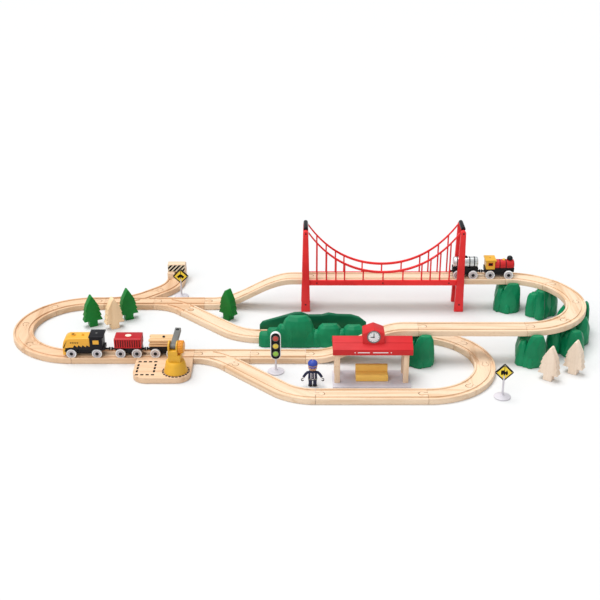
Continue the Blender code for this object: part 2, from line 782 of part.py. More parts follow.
CRANE_X = -232.2
CRANE_Y = Y_FRONT + 85.0
CRANE_TURN = math.radians(-5)  # swivel as it stands
CRANE_FOOT = TRACK_H + GAP
CRANE_R = 21.0
PIVOT_Z = 64.2
BOOM_X = -2.3                  # boom's middle beside the swivel axis
BOOM_HALF = 5.6
BOOM_THICK = 9.0
BOOM_LENGTH = 53.0
BOOM_LEAN = math.radians(11)   # boom above the horizontal, pointing at the track
CHEEK_IN = 6.1
CHEEK_OUT = 9.2
CHEEK_R = 11.5
SLOT_FLOOR = 59.0
SHOULDER_Z = 50.5
PIN_R = 2.4
PIN_PLAY = 0.35
KNOB_R = 12.5
KNOB_IN = 7.3
KNOB_OUT = 18.4


def place_crane(bm):
    return move(bm, CRANE_X, CRANE_Y, turn=CRANE_TURN)


def build_crane():
    low = CRANE_FOOT
    cone = turned([(0, low), (CRANE_R, low), (CRANE_R, low + 2.5), (18.3, low + 20.5), (15.5, low + 24),
                   (0, low + 24)], 24)
    block = box(-11.8, 11.8, -CHEEK_R, CHEEK_R, low + 22, SHOULDER_Z)
    waist = box(BOOM_X - CHEEK_OUT, BOOM_X + CHEEK_OUT, -CHEEK_R, CHEEK_R, SHOULDER_Z - 2, SLOT_FLOOR)
    cheeks = []
    for side in (-1, 1):
        outline = [(-CHEEK_R, SLOT_FLOOR - 2), (CHEEK_R, SLOT_FLOOR - 2)]
        outline += arc_points(0, PIVOT_Z, CHEEK_R, 0, math.pi, 10)
        x0, x1 = sorted((BOOM_X + side * CHEEK_IN, BOOM_X + side * CHEEK_OUT))
        cheeks.append(end_prism(outline, x0, x1))
    bore = cylinder(PIN_R + PIN_PLAY, -14, 14, 16, (0, 0, PIVOT_Z), "X")
    bm = cut(unite(cone, block, waist, *cheeks), bore)
    add_object("crane_tower", place_crane(bm), amber_plastic())

    half = BOOM_THICK / 2
    arm = arc_points(0, 0, half, QUARTER, 3 * QUARTER, 6)
    arm += [(BOOM_LENGTH - 2.5, -half), (BOOM_LENGTH, -half + 2.5), (BOOM_LENGTH, half)]
    boom = end_prism(arm, BOOM_X - BOOM_HALF, BOOM_X + BOOM_HALF)
    move(boom, turn=BOOM_LEAN, axis="X")
    pin = cylinder(PIN_R, -12.5, KNOB_IN + 2, 16, axis="X")
    knob = turned([(0, KNOB_IN), (KNOB_R - 1.5, KNOB_IN), (KNOB_R, KNOB_IN + 1.5), (KNOB_R, KNOB_OUT - 2),
                   (KNOB_R - 2, KNOB_OUT), (0, KNOB_OUT)], 20, axis="X")
    bm = move(unite(boom, pin, knob), z=PIVOT_Z)
    add_object("crane_boom", place_crane(bm), grey_plastic())


# ---------------------------------------------------------------- trains

def wheelset(name, x, y, z):
    """Two wheels on one axle."""
    half = [(0, -WHEEL_OUT), (WHEEL_R, -WHEEL_OUT), (WHEEL_R, -WHEEL_IN), (AXLE_R, -WHEEL_IN)]
    profile = half + [(r, -h) for r, h in reversed(half)]
    add_object(name, turned(profile, 18, (x, y, z), "Y"), grey_wheel())


def coupler(x, y, z, length):
    """Round magnet holder at a vehicle's end, pointing along X by a signed length."""
    low, high = sorted((-2.0 * math.copysign(1, length), length))
    return cylinder(3.6, low, high, 12, (x, y, z), "X")


def axle_bores(wheels, y, z):
    return [cylinder(BORE_R, -30, 30, 12, (x, y, z), "Y") for x in wheels]


def vehicle(name, x0, x1, y, rail, wheels, upper, couplers, mat):
    """Chassis, superstructure and couplers in one solid; the wheelsets are separate."""
    lift = rail - TRACK_H
    axle = AXLE_Z + lift
    bm = box(x0, x1, y - CHASSIS_HALF, y + CHASSIS_HALF, axle - 3.5, axle + 13)
    parts = [coupler(x, y, axle + 4, length) for x, length in couplers]
    bm = unite(bm, *upper(x0, x1, y, lift), *parts)
    bm = cut(bm, *axle_bores(wheels, y, axle))
    add_object(name, bm, mat)
    for tag, x in zip(("west", "east"), wheels):
        wheelset(name + "_wheels_" + tag, x, y, axle)


def rounded_block(x0, x1, y, half, z0, z1, corner):
    """Block along X with rounded upper long edges."""
    outline = [(y - half, z0), (y + half, z0)]
    outline += arc_points(y + half - corner, z1 - corner, corner, 0, QUARTER, 4)
    outline += arc_points(y - half + corner, z1 - corner, corner, QUARTER, math.pi, 4)
    return end_prism(outline, x0, x1)


def diesel_upper(x0, x1, y, lift):
    hood = rounded_block(x0, x1 - 33, y, BODY_HALF, 29 + lift, 52.5 + lift, 4)
    cab = rounded_block(x1 - 34, x1 - 4, y, BODY_HALF + 0.6, 29 + lift, 54.5 + lift, 2)
    roof = rounded_block(x1 - 35.5, x1 - 2, y, BODY_HALF + 1.6, 53.5 + lift, 57 + lift, 1.5)
    chimney = cylinder(4.6, 50 + lift, 55.5 + lift, 14, (x0 + 24, y, 0))
    apron = box(x0, x0 + 3.3, y - BODY_HALF + 0.4, y + BODY_HALF - 0.4, 16.5 + lift, 30 + lift)
    return [hood, cab, roof, chimney, apron]


def container_upper(x0, x1, y, lift):
    rings = []
    for z, inset in ((31.5, 0), (50.4, 0), (52, 1.6)):
        half = BODY_HALF - inset
        rings.append([(x0 + inset, y - half, z + lift), (x1 - inset, y - half, z + lift),
                      (x1 - inset, y + half, z + lift), (x0 + inset, y + half, z + lift)])
    return [loft(rings)]


def log_upper(x0, x1, y, lift):
    deck = box(x0, x1, y - 12, y + 12, 29 + lift, 33 + lift)
    planks = box(x0 + 2, x1 - 2, y - 13.5, y + 13.5, 32 + lift, 48.5 + lift)
    peg_top = cylinder(2.6, 47 + lift, 50.5 + lift, 12, ((x0 + x1) / 2, y, 0))
    return [deck, planks, peg_top]


def tank_upper(x0, x1, y, lift):
    return [cylinder(11.6, x0 + 1, x1 - 1, 20, (0, y, 43.9 + lift), "X"),
            cylinder(3.4, 52 + lift, 57.5 + lift, 12, ((x0 + x1) / 2, y, 0)),
            box(x0, x1, y - 10, y + 10, 30 + lift, 35 + lift)]


def steam_upper(x0, x1, y, lift):
    boiler = cylinder(11.0, x0 + 20, x1 - 1, 20, (0, y, 38.5 + lift), "X")
    cab = rounded_block(x0, x0 + 23.5, y, BODY_HALF - 0.6, 32 + lift, 53.5 + lift, 1.5)
    chimney = turned([(0, 46), (2.6, 46), (2.8, 47.5), (5.6, 49.4), (6.3, 52.5), (4.4, 56.6), (0, 58)], 16,
                     (x1 - 9.5, y, lift))
    frame = box(x0, x1, y - 11, y + 11, 30 + lift, 34 + lift)
    return [boiler, cab, chimney, frame]


FRONT_TRAIN = (
    ("diesel", -453.4, -374.4, (-439.8, -390.3), diesel_upper, ((-374.4, 8.5),)),
    ("container_wagon", -356.0, -303.4, (-344.8, -313.2), container_upper, ((-356.0, -8.5), (-303.4, 6.5))),
    ("log_wagon", -289.3, -233.3, (-277.5, -246.5), log_upper, ((-289.3, -6.5), (-233.3, 6.5))),
)
REAR_TRAIN = (
    ("tank_wagon", 325.2, 379.2, (336.0, 368.0), tank_upper, ((325.2, -6.0), (379.2, 6.0))),
    ("steam_loco", 392.2, 455.2, (404.2, 443.2), steam_upper, ((392.2, -6.0),)),
)
VEHICLE_MATERIAL = {
    "diesel": amber_plastic, "container_wagon": red_paint, "log_wagon": beech,
    "tank_wagon": silver_paint, "steam_loco": red_paint,
}


def build_trains():
    for train, y, rail in ((FRONT_TRAIN, Y_MID, RAIL_TOP), (REAR_TRAIN, Y_BACK, HIGH_TOP)):
        for name, x0, x1, wheels, upper, couplers in train:
            vehicle(name, x0, x1, y, rail, wheels, upper, couplers, VEHICLE_MATERIAL[name]())


def main():
    clear_scene()
    stop = build_tracks()
    build_crane_board()
    build_buffer(stop)
    build_tower("bridge_tower_west", WEST_TOWER_X)
    build_tower("bridge_tower_east", EAST_TOWER_X)
    build_truss("bridge_truss_front", -1)
    build_truss("bridge_truss_rear", 1)
    build_pillars()
    build_cutting_wall("rock_wall_front", CUTTING_FRONT, -1)
    build_cutting_wall("rock_wall_rear", CUTTING_BACK, 1)
    build_station()
    build_traffic_light()
    build_road_sign("road_sign_west", -257.8, Y_FRONT + 447.0, 49.0)
    build_road_sign("road_sign_east", 372.0, Y_FRONT + 8.5, 51.0)
    build_figure()
    build_trees()
    build_crane()
    build_trains()


main()
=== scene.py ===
from math import asin, atan2, copysign, cos, cosh, pi, radians, sin, tan, tau

import bmesh
import bpy
from mathutils import Matrix, Vector


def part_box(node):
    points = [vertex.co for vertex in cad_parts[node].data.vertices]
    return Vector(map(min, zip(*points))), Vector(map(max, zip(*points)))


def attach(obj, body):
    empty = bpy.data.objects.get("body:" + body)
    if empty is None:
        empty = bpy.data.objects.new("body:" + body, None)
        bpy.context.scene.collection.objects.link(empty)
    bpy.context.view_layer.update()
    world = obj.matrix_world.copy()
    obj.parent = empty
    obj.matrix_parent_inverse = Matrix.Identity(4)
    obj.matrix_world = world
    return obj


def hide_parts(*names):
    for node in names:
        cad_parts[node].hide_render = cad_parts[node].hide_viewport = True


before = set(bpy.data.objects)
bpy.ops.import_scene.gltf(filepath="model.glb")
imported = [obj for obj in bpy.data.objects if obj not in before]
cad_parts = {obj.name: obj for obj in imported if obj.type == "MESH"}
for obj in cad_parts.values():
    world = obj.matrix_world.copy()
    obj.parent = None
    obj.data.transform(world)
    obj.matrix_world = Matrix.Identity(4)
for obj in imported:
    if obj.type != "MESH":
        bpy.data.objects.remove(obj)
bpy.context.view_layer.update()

MM = 0.001
QUARTER = pi / 2
EIGHTH = pi / 4
ROOT = "layout"
# Starts of the names of nodes that are bodies of their own; every other node is part of the root body.
MOVING = ("diesel", "container_wagon", "log_wagon", "tank_wagon", "steam_loco", "crane_tower", "crane_boom",
          "figure_head")


def span(node):
    """x0, x1, y0, y1, z0, z1 of a frame node, in millimetres."""
    low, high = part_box(node)
    return tuple(value / MM for pair in zip(low, high) for value in pair)


def middle_of(node):
    x0, x1, y0, y1, _, _ = span(node)
    return (x0 + x1) / 2, (y0 + y1) / 2


# ---------------------------------------------------------------- materials

def new_material(name, color, roughness=0.5, metallic=0.0, coat=0.0, specular=0.5):
    mat = bpy.data.materials.new(name)
    mat.use_nodes = True
    shader = mat.node_tree.nodes["Principled BSDF"]
    shader.inputs["Base Color"].default_value = (*color, 1.0)
    shader.inputs["Roughness"].default_value = roughness
    shader.inputs["Metallic"].default_value = metallic
    shader.inputs["Coat Weight"].default_value = coat
    shader.inputs["Coat Roughness"].default_value = 0.15
    shader.inputs["Specular IOR Level"].default_value = specular
    return mat


class Nodes:
    """Small helper for writing node trees."""

    def __init__(self, mat):
        self.tree = mat.node_tree
        self.shader = self.tree.nodes["Principled BSDF"]

    def add(self, kind, **settings):
        node = self.tree.nodes.new(kind)
        for key, value in settings.items():
            setattr(node, key, value)
        return node

    def link(self, source, target):
        self.tree.links.new(source, target)

    def coords(self, scale, random_shift=0.0, turn=0.0):
        """Object coordinates turned about Z, scaled per axis and shifted by the object's random value."""
        texture = self.add("ShaderNodeTexCoord")
        mapping = self.add("ShaderNodeMapping")
        mapping.inputs["Scale"].default_value = scale
        source = texture.outputs["Object"]
        if turn:
            turned_by = self.add("ShaderNodeVectorRotate", rotation_type="Z_AXIS")
            turned_by.inputs["Angle"].default_value = turn
            self.link(source, turned_by.inputs["Vector"])
            source = turned_by.outputs["Vector"]
        self.link(source, mapping.inputs["Vector"])
        if random_shift:
            info = self.add("ShaderNodeObjectInfo")
            spread = self.add("ShaderNodeMath", operation="MULTIPLY")
            spread.inputs[1].default_value = random_shift
            self.link(info.outputs["Random"], spread.inputs[0])
            self.link(spread.outputs[0], mapping.inputs["Location"])
        return mapping.outputs["Vector"]

    def noise(self, vector, scale, detail=3.0, rough=0.5, distortion=0.0):
        node = self.add("ShaderNodeTexNoise")
        node.inputs["Scale"].default_value = scale
        node.inputs["Detail"].default_value = detail
        node.inputs["Roughness"].default_value = rough
        node.inputs["Distortion"].default_value = distortion
        self.link(vector, node.inputs["Vector"])
        return node.outputs["Fac"]

    def ramp(self, value, stops):
        node = self.add("ShaderNodeValToRGB")
        elements = node.color_ramp.elements
        while len(elements) < len(stops):
            elements.new(0.5)
        for element, (place, color) in zip(elements, stops):
            element.position = place
            element.color = (*color, 1.0) if len(color) == 3 else color
        self.link(value, node.inputs["Fac"])
        return node.outputs["Color"]

    def grey(self, value, low, high):
        """Map 0..1 to low..high."""
        node = self.add("ShaderNodeMapRange")
        node.inputs["To Min"].default_value = low
        node.inputs["To Max"].default_value = high
        self.link(value, node.inputs["Value"])
        return node.outputs["Result"]

    def mix(self, factor, one, two):
        node = self.add("ShaderNodeMix", data_type="RGBA")
        if isinstance(factor, float):
            node.inputs["Factor"].default_value = factor
        else:
            self.link(factor, node.inputs["Factor"])
        for socket, value in ((node.inputs[6], one), (node.inputs[7], two)):
            if isinstance(value, tuple):
                socket.default_value = (*value, 1.0)
            else:
                self.link(value, socket)
        return node.outputs[2]

    def bump(self, height, strength, distance):
        node = self.add("ShaderNodeBump")
        node.inputs["Strength"].default_value = strength
        node.inputs["Distance"].default_value = distance * MM
        self.link(height, node.inputs["Height"])
        self.link(node.outputs["Normal"], self.shader.inputs["Normal"])

    def color(self, value):
        self.link(value, self.shader.inputs["Base Color"])

    def roughness(self, value):
        self.link(value, self.shader.inputs["Roughness"])


def wood_material(name, light, dark, fleck, roughness=0.5, coat=0.0, turn=0.0):
    """Beech or pine: grain along each piece's own X, or turned from it, with short darker flecks."""
    mat = new_material(name, light, roughness, coat=coat, specular=0.3)
    n = Nodes(mat)
    rings = n.noise(n.coords((3.2, 55, 70), 40.0, turn), 1.0, 4.0, 0.55, 0.6)
    tone = n.ramp(rings, [(0.30, dark), (0.52, light), (0.75, tuple(min(1, c * 1.06) for c in light))])
    streak = n.noise(n.coords((14, 620, 620), 40.0, turn), 1.0, 3.0, 0.6)
    streaked = n.mix(n.grey(streak, -0.55, 0.62), tone, dark)
    flecks = n.noise(n.coords((150, 1150, 1150), 40.0, turn), 1.0, 2.0, 0.5)
    mask = n.ramp(flecks, [(0.62, (0, 0, 0)), (0.72, (1, 1, 1))])
    scaled = n.add("ShaderNodeMath", operation="MULTIPLY")
    scaled.inputs[1].default_value = 0.45
    n.link(mask, scaled.inputs[0])
    n.color(n.mix(scaled.outputs[0], streaked, fleck))
    n.roughness(n.grey(streak, roughness - 0.07, roughness + 0.12))
    n.bump(streak, 0.25, 0.25)
    return mat


def paint_material(name, color, roughness=0.36, specular=0.25):
    """Satin paint on wood: faint grain below and a slow drift in tone and gloss."""
    mat = new_material(name, color, roughness, specular=specular)
    n = Nodes(mat)
    drift = n.noise(n.coords((18, 18, 18), 9.0), 1.0, 3.0)
    lighter = tuple(min(1.0, c * 1.12 + 0.002) for c in color)
    darker = tuple(c * 0.86 for c in color)
    tone = n.ramp(drift, [(0.3, darker), (0.7, lighter)])
    fine = n.noise(n.coords((30, 420, 420), 9.0), 1.0, 3.0)
    n.color(n.mix(n.grey(fine, -0.25, 0.35), tone, darker))
    n.roughness(n.grey(fine, roughness - 0.08, roughness + 0.12))
    n.bump(fine, 0.22, 0.2)
    return mat


def plastic_material(name, color, roughness=0.32, specular=0.3, texture=420.0, depth=0.12, spread=0.12):
    """Moulded plastic: fine spark texture and a slow drift in tone and gloss."""
    mat = new_material(name, color, roughness, specular=specular)
    n = Nodes(mat)
    drift = n.noise(n.coords((22, 22, 22), 7.0), 1.0, 3.0)
    lighter = tuple(min(1.0, c * (1 + spread) + 0.003) for c in color)
    darker = tuple(c * (1 - spread) for c in color)
    n.color(n.ramp(drift, [(0.32, darker), (0.68, lighter)]))
    n.roughness(n.grey(drift, roughness - 0.06, roughness + 0.10))
    n.bump(n.noise(n.coords((texture, texture, texture), 7.0), 1.0, 2.0), 0.3, depth)
    return mat


def metal_material(name, color):
    """Brushed silver paint."""
    roughness = 0.3
    mat = new_material(name, color, roughness, metallic=0.85)
    n = Nodes(mat)
    brushed = n.noise(n.coords((20, 700, 700), 5.0), 1.0, 3.0)
    n.color(n.ramp(brushed, [(0.3, tuple(c * 0.85 for c in color)), (0.7, color)]))
    n.roughness(n.grey(brushed, roughness - 0.05, roughness + 0.15))
    n.bump(brushed, 0.15, 0.1)
    return mat


BEECH_TONES = ((0.83, 0.63, 0.45), (0.66, 0.42, 0.24), (0.44, 0.23, 0.11))
BEECH = wood_material("beech", *BEECH_TONES)
BEECH_WARM = wood_material("beech_warm", (0.78, 0.53, 0.34), (0.60, 0.35, 0.19), (0.40, 0.20, 0.09))
BEECH_SLANTED = wood_material("beech_slanted", *BEECH_TONES, turn=EIGHTH)
PLANK = wood_material("plank", (0.80, 0.52, 0.28), (0.58, 0.31, 0.13), (0.36, 0.17, 0.07), 0.6)
PALE_WOOD = wood_material("pale_wood", (0.86, 0.70, 0.56), (0.76, 0.58, 0.44), (0.60, 0.42, 0.29), 0.62)
WARM_WOOD = wood_material("warm_wood", (0.94, 0.68, 0.42), (0.84, 0.56, 0.31), (0.58, 0.33, 0.16), 0.62)
BURN = wood_material("burnt_wood", (0.30, 0.15, 0.07), (0.16, 0.07, 0.03), (0.08, 0.03, 0.015), 0.7)
RED = paint_material("red_paint", (0.60, 0.020, 0.022))
DARK_RED = paint_material("dark_red_paint", (0.30, 0.006, 0.010))
# Very dark red of the container's body, seen only in the slots between its ribs: painted shade in those
# recesses.
SLOT_SHADE_RED = paint_material("slot_shade_red_paint", (0.11, 0.002, 0.004))
ROOF_RED = paint_material("roof_red_paint", (0.60, 0.020, 0.024), 0.42, 0.14)
WAGON_RED = paint_material("wagon_red_paint", (0.46, 0.008, 0.014))
GREEN_PAINT = paint_material("green_paint", (0.005, 0.185, 0.024), 0.42, 0.18)
AMBER = paint_material("amber_paint", (0.88, 0.44, 0.050), 0.34)
BLACK_PAINT = paint_material("black_paint", (0.007, 0.006, 0.009), 0.34, 0.18)
# Amber made lighter for the bench alone: painted light that makes up for the station roof's shade over it.
BENCH_PAINTED_LIGHT = paint_material("painted_light_bench", (1.0, 0.55, 0.12))
BRIDGE_RED = paint_material("bridge_red", (0.84, 0.030, 0.032))
ROCK = plastic_material("rock_green", (0.003, 0.215, 0.088), 0.34, 0.22, 160.0, 0.35, 0.18)
# Darker copy of the rock green for the rear wall: painted shade, standing for the shadow the front wall
# casts on its face.
SHADED_ROCK = plastic_material("shaded_rock_green", (0.002, 0.120, 0.052), 0.34, 0.22, 160.0, 0.35, 0.18)
BLACK = plastic_material("black_plastic", (0.006, 0.006, 0.008), 0.38, 0.22)
YELLOW = plastic_material("yellow_plastic", (0.76, 0.40, 0.030), 0.30)
ORANGE = plastic_material("orange_plastic", (0.82, 0.32, 0.022), 0.30)
GREY = plastic_material("grey_plastic", (0.16, 0.16, 0.15), 0.4)
WHEEL = plastic_material("wheel_plastic", (0.52, 0.48, 0.50), 0.25, 0.5)
WHITE = plastic_material("white_plastic", (0.82, 0.82, 0.83), 0.3)
BASE_GREY = plastic_material("base_grey", (0.62, 0.59, 0.63), 0.45)
NAVY = plastic_material("navy_plastic", (0.010, 0.014, 0.050), 0.35)
CAP_BLUE = plastic_material("cap_blue", (0.030, 0.060, 0.36), 0.35)
SKIN = plastic_material("skin_plastic", (0.62, 0.34, 0.20), 0.42)
SILVER = metal_material("silver_paint", (0.78, 0.80, 0.80))
PRINT_BLACK = plastic_material("print_black", (0.006, 0.006, 0.006), 0.6, 0.1)
PRINT_CREAM = plastic_material("print_cream", (0.86, 0.78, 0.62), 0.5, 0.2)
SIGN_YELLOW = plastic_material("sign_yellow", (0.95, 0.66, 0.05), 0.4)
LAMP_RED = plastic_material("lamp_red", (0.52, 0.045, 0.03), 0.2, 0.6)
LAMP_YELLOW = plastic_material("lamp_yellow", (0.72, 0.55, 0.05), 0.2, 0.6)
LAMP_GREEN = plastic_material("lamp_green", (0.26, 0.52, 0.06), 0.2, 0.6)


# ---------------------------------------------------------------- shapes

def loft(rings):
    """Closed mesh through rings of equal point count, capped at both ends."""
    bm = bmesh.new()
    rows = [[bm.verts.new(point) for point in ring] for ring in rings]
    count = len(rows[0])
    for low, high in zip(rows, rows[1:]):
        for i in range(count):
            j = (i + 1) % count
            bm.faces.new((low[i], low[j], high[j], high[i]))
    bm.faces.new(list(reversed(rows[0])))
    bm.faces.new(rows[-1])
    bmesh.ops.recalc_face_normals(bm, faces=bm.faces)
    return bm


def rounded(outline, radius, steps=3):
    """Outline with its corners turned into arcs; radius is one number or one per corner."""
    count = len(outline)
    radii = [radius] * count if isinstance(radius, (int, float)) else radius
    points = []
    for i, r in enumerate(radii):
        here = Vector(outline[i])
        back = Vector(outline[i - 1]) - here
        ahead = Vector(outline[(i + 1) % count]) - here
        if r <= 0:
            points.append(tuple(here))
            continue
        half = back.angle(ahead) / 2
        reach = min(r / tan(half), back.length * 0.49, ahead.length * 0.49)
        r = reach * tan(half)
        start = here + back.normalized() * reach
        end = here + ahead.normalized() * reach
        centre = here + (back.normalized() + ahead.normalized()).normalized() * (r / sin(half))
        one = start - centre
        two = end - centre
        angle = one.angle(two)
        for k in range(steps + 1):
            t = k / steps
            mixed = (one * sin((1 - t) * angle) + two * sin(t * angle)) / sin(angle)
            points.append(tuple(centre + mixed))
    return points


def arc_points(cx, cy, radius, start, end, steps):
    return [(cx + radius * cos(start + (end - start) * i / steps),
             cy + radius * sin(start + (end - start) * i / steps)) for i in range(steps + 1)]


def circle(cx, cy, radius, count):
    return arc_points(cx, cy, radius, 0, tau * (count - 1) / count, count - 1)


def inset(outline, distance):
    """Outline drawn inwards by a distance."""
    if not distance:
        return list(outline)
    area = sum(ax * by - ay * bx for (ax, ay), (bx, by) in zip(outline, outline[1:] + outline[:1]))
    side = copysign(distance, area)
    points = []
    for i, point in enumerate(outline):
        here = Vector(point)
        back = (here - Vector(outline[i - 1])).normalized()
        ahead = (Vector(outline[(i + 1) % len(outline)]) - here).normalized()
        normal = Vector((-back.y, back.x))
        mitre = (normal + Vector((-ahead.y, ahead.x))).normalized()
        points.append(tuple(here + mitre * (side / max(0.4, mitre.dot(normal)))))
    return points


def levels(outline, low, high, ease):
    """Copies of an outline from low to high, drawn inwards at both ends in a quarter round of ease."""
    if not ease:
        return [(outline, low), (outline, high)]
    steps = 3
    rows = []
    for k in range(steps + 1):
        a = QUARTER * k / steps
        rows.append((inset(outline, ease * (1 - sin(a))), low + ease * (1 - cos(a))))
    return rows + [(ring, low + high - level) for ring, level in reversed(rows)]


def prism(outline, low, high, ease=0.0):
    """A flat XY outline raised from low to high."""
    return loft([[(x, y, z) for x, y in ring] for ring, z in levels(outline, low, high, ease)])


def side_prism(outline, low, high, ease=0.0):
    """A flat XZ outline carried along Y."""
    return loft([[(x, y, z) for x, z in ring] for ring, y in levels(outline, low, high, ease)])


def end_prism(outline, low, high, ease=0.0):
    """A flat YZ outline carried along X."""
    return loft([[(x, y, z) for y, z in ring] for ring, x in levels(outline, low, high, ease)])


def rectangle(u0, u1, v0, v1):
    return [(u0, v0), (u1, v0), (u1, v1), (u0, v1)]


def box(x0, x1, y0, y1, z0, z1):
    return prism(rectangle(x0, x1, y0, y1), z0, z1)


def block(x0, x1, y0, y1, z0, z1, radius):
    """Box with every edge rounded."""
    return prism(rounded(rectangle(x0, x1, y0, y1), radius), z0, z1, radius * 0.9)


def stepped_block(x0, x1, y0, y1, rows):
    """Box with upright edges rounded; each row is a height and how far the outline is drawn in there."""
    rings = []
    for z, step in rows:
        outline = rounded(rectangle(x0 + step, x1 - step, y0 + step, y1 - step), 1.0)
        rings.append([(x, y, z) for x, y in outline])
    return loft(rings)


def rim(outline, low, high, wide):
    """Flat band in XZ that follows an outline on its inner side, from low to high in Y."""
    bm = bmesh.new()
    rows = []
    for (ox, oz), (ix, iz) in zip(outline, inset(outline, wide)):
        corners = ((ox, low, oz), (ox, high, oz), (ix, high, iz), (ix, low, iz))
        rows.append([bm.verts.new(corner) for corner in corners])
    for one, two in zip(rows, rows[1:] + rows[:1]):
        for i in range(4):
            j = (i + 1) % 4
            bm.faces.new((one[i], one[j], two[j], two[i]))
    bmesh.ops.recalc_face_normals(bm, faces=bm.faces)
    return bm


def both_sides(make, outline, near, far, *more):
    """Front and rear copies of a shape made from an XZ outline, each from near to far off Y = 0."""
    return merged(*[make(outline, *sorted((side * near, side * far)), *more) for side in (-1, 1)])


def clip_x(outline, low, high):
    """Part of an XZ outline between two X values."""
    for limit, keep in ((low, 1), (high, -1)):
        kept = []
        for (ax, az), (bx, bz) in zip(outline, outline[1:] + outline[:1]):
            inside = keep * (ax - limit) >= 0
            if inside:
                kept.append((ax, az))
            if inside != (keep * (bx - limit) >= 0):
                kept.append((limit, az + (bz - az) * (limit - ax) / (bx - ax)))
        outline = kept
        if not outline:
            return []
    return outline


def turned(profile, segments=48, centre=(0, 0, 0), axis="Z"):
    """Solid of revolution from (radius, height) points; an end that is off the axis gets a flat cap."""
    if profile[0][0]:
        profile = [(0, profile[0][1])] + profile
    if profile[-1][0]:
        profile = profile + [(0, profile[-1][1])]
    bm = bmesh.new()
    low = bm.verts.new((0, 0, profile[0][1]))
    high = bm.verts.new((0, 0, profile[-1][1]))
    rows = []
    for radius, height in profile[1:-1]:
        row = circle(0, 0, radius, segments)
        rows.append([bm.verts.new((x, y, height)) for x, y in row])
    for i in range(segments):
        j = (i + 1) % segments
        bm.faces.new((low, rows[0][j], rows[0][i]))
        bm.faces.new((high, rows[-1][i], rows[-1][j]))
        for one, two in zip(rows, rows[1:]):
            bm.faces.new((one[i], one[j], two[j], two[i]))
    if axis == "X":
        bmesh.ops.rotate(bm, matrix=Matrix.Rotation(QUARTER, 3, "Y"), verts=bm.verts)
    if axis == "Y":
        bmesh.ops.rotate(bm, matrix=Matrix.Rotation(-QUARTER, 3, "X"), verts=bm.verts)
    bmesh.ops.translate(bm, vec=Vector(centre), verts=bm.verts)
    bmesh.ops.recalc_face_normals(bm, faces=bm.faces)
    return bm


def soft_disc(radius, low, high, edge, segments=48, centre=(0, 0, 0), axis="Z"):
    """Cylinder with rounded rims."""
    profile = arc_points(radius - edge, low + edge, edge, -QUARTER, 0, 4)
    profile += arc_points(radius - edge, high - edge, edge, 0, QUARTER, 4)
    return turned(profile, segments, centre, axis)


def combine(bm, others, operation):
    for other in others:
        pair = []
        for part in (bm, other):
            mesh = bpy.data.meshes.new("boolean")
            part.to_mesh(mesh)
            part.free()
            obj = bpy.data.objects.new("boolean", mesh)
            bpy.context.scene.collection.objects.link(obj)
            pair.append(obj)
        modifier = pair[0].modifiers.new("boolean", "BOOLEAN")
        modifier.object = pair[1]
        modifier.operation = operation
        graph = bpy.context.evaluated_depsgraph_get()
        bm = bmesh.new()
        bm.from_object(pair[0], graph)
        for obj in pair:
            bpy.data.meshes.remove(obj.data)
        bmesh.ops.remove_doubles(bm, verts=bm.verts, dist=0.002)
        bmesh.ops.dissolve_limit(bm, angle_limit=0.002, verts=bm.verts, edges=bm.edges)
    return bm


def unite(bm, *others):
    return combine(bm, others, "UNION")


def cut(bm, *others):
    return combine(bm, others, "DIFFERENCE")


def merged(*parts):
    """Separate shells in one mesh."""
    bm = parts[0]
    for part in parts[1:]:
        mesh = bpy.data.meshes.new("merge")
        part.to_mesh(mesh)
        part.free()
        bm.from_mesh(mesh)
        bpy.data.meshes.remove(mesh)
    return bm


def move(bm, x=0.0, y=0.0, z=0.0, turn=0.0, axis="Z"):
    """Turn about the origin, then shift."""
    bmesh.ops.rotate(bm, matrix=Matrix.Rotation(turn, 3, axis), verts=bm.verts)
    bmesh.ops.translate(bm, vec=Vector((x, y, z)), verts=bm.verts)
    return bm


def piece(name, bm, mat, node, bevel=0.0, origin=(0, 0, 0), heading=0.0, grain=None,
          smooth=35.0, bevel_angle=40.0, segments=2):
    """Turn a millimetre mesh into a finished piece that stands for a node and rides on its body.

    origin and heading give the piece its own axes, so that its texture follows the piece.
    grain "Y" or "Z" lays the texture's long direction along that axis.
    """
    frame_turn = Matrix.Rotation(heading, 4, "Z")
    if grain == "Z":
        frame_turn = frame_turn @ Matrix.Rotation(-QUARTER, 4, "Y")
    if grain == "Y":
        frame_turn = frame_turn @ Matrix.Rotation(QUARTER, 4, "Z")
    place = Matrix.Translation(Vector(origin)) @ frame_turn
    bmesh.ops.transform(bm, matrix=place.inverted(), verts=bm.verts)
    bmesh.ops.recalc_face_normals(bm, faces=bm.faces)
    bmesh.ops.scale(bm, vec=Vector((MM, MM, MM)), verts=bm.verts)
    mesh = bpy.data.meshes.new(name)
    bm.to_mesh(mesh)
    bm.free()
    mesh.materials.append(mat)
    mesh.shade_smooth()
    mesh.set_sharp_from_angle(angle=radians(smooth))
    obj = bpy.data.objects.new(name, mesh)
    bpy.context.scene.collection.objects.link(obj)
    obj.matrix_world = Matrix.Translation(Vector(origin) * MM) @ frame_turn
    if bevel:
        modifier = obj.modifiers.new("soft_edges", "BEVEL")
        modifier.width = bevel * MM
        modifier.segments = segments
        modifier.limit_method = "ANGLE"
        modifier.angle_limit = radians(bevel_angle)
        modifier.miter_outer = "MITER_ARC"
        modifier.harden_normals = True
    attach(obj, node if node.startswith(MOVING) else ROOT)
    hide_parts(node)


# ---------------------------------------------------------------- layout, read from the frame

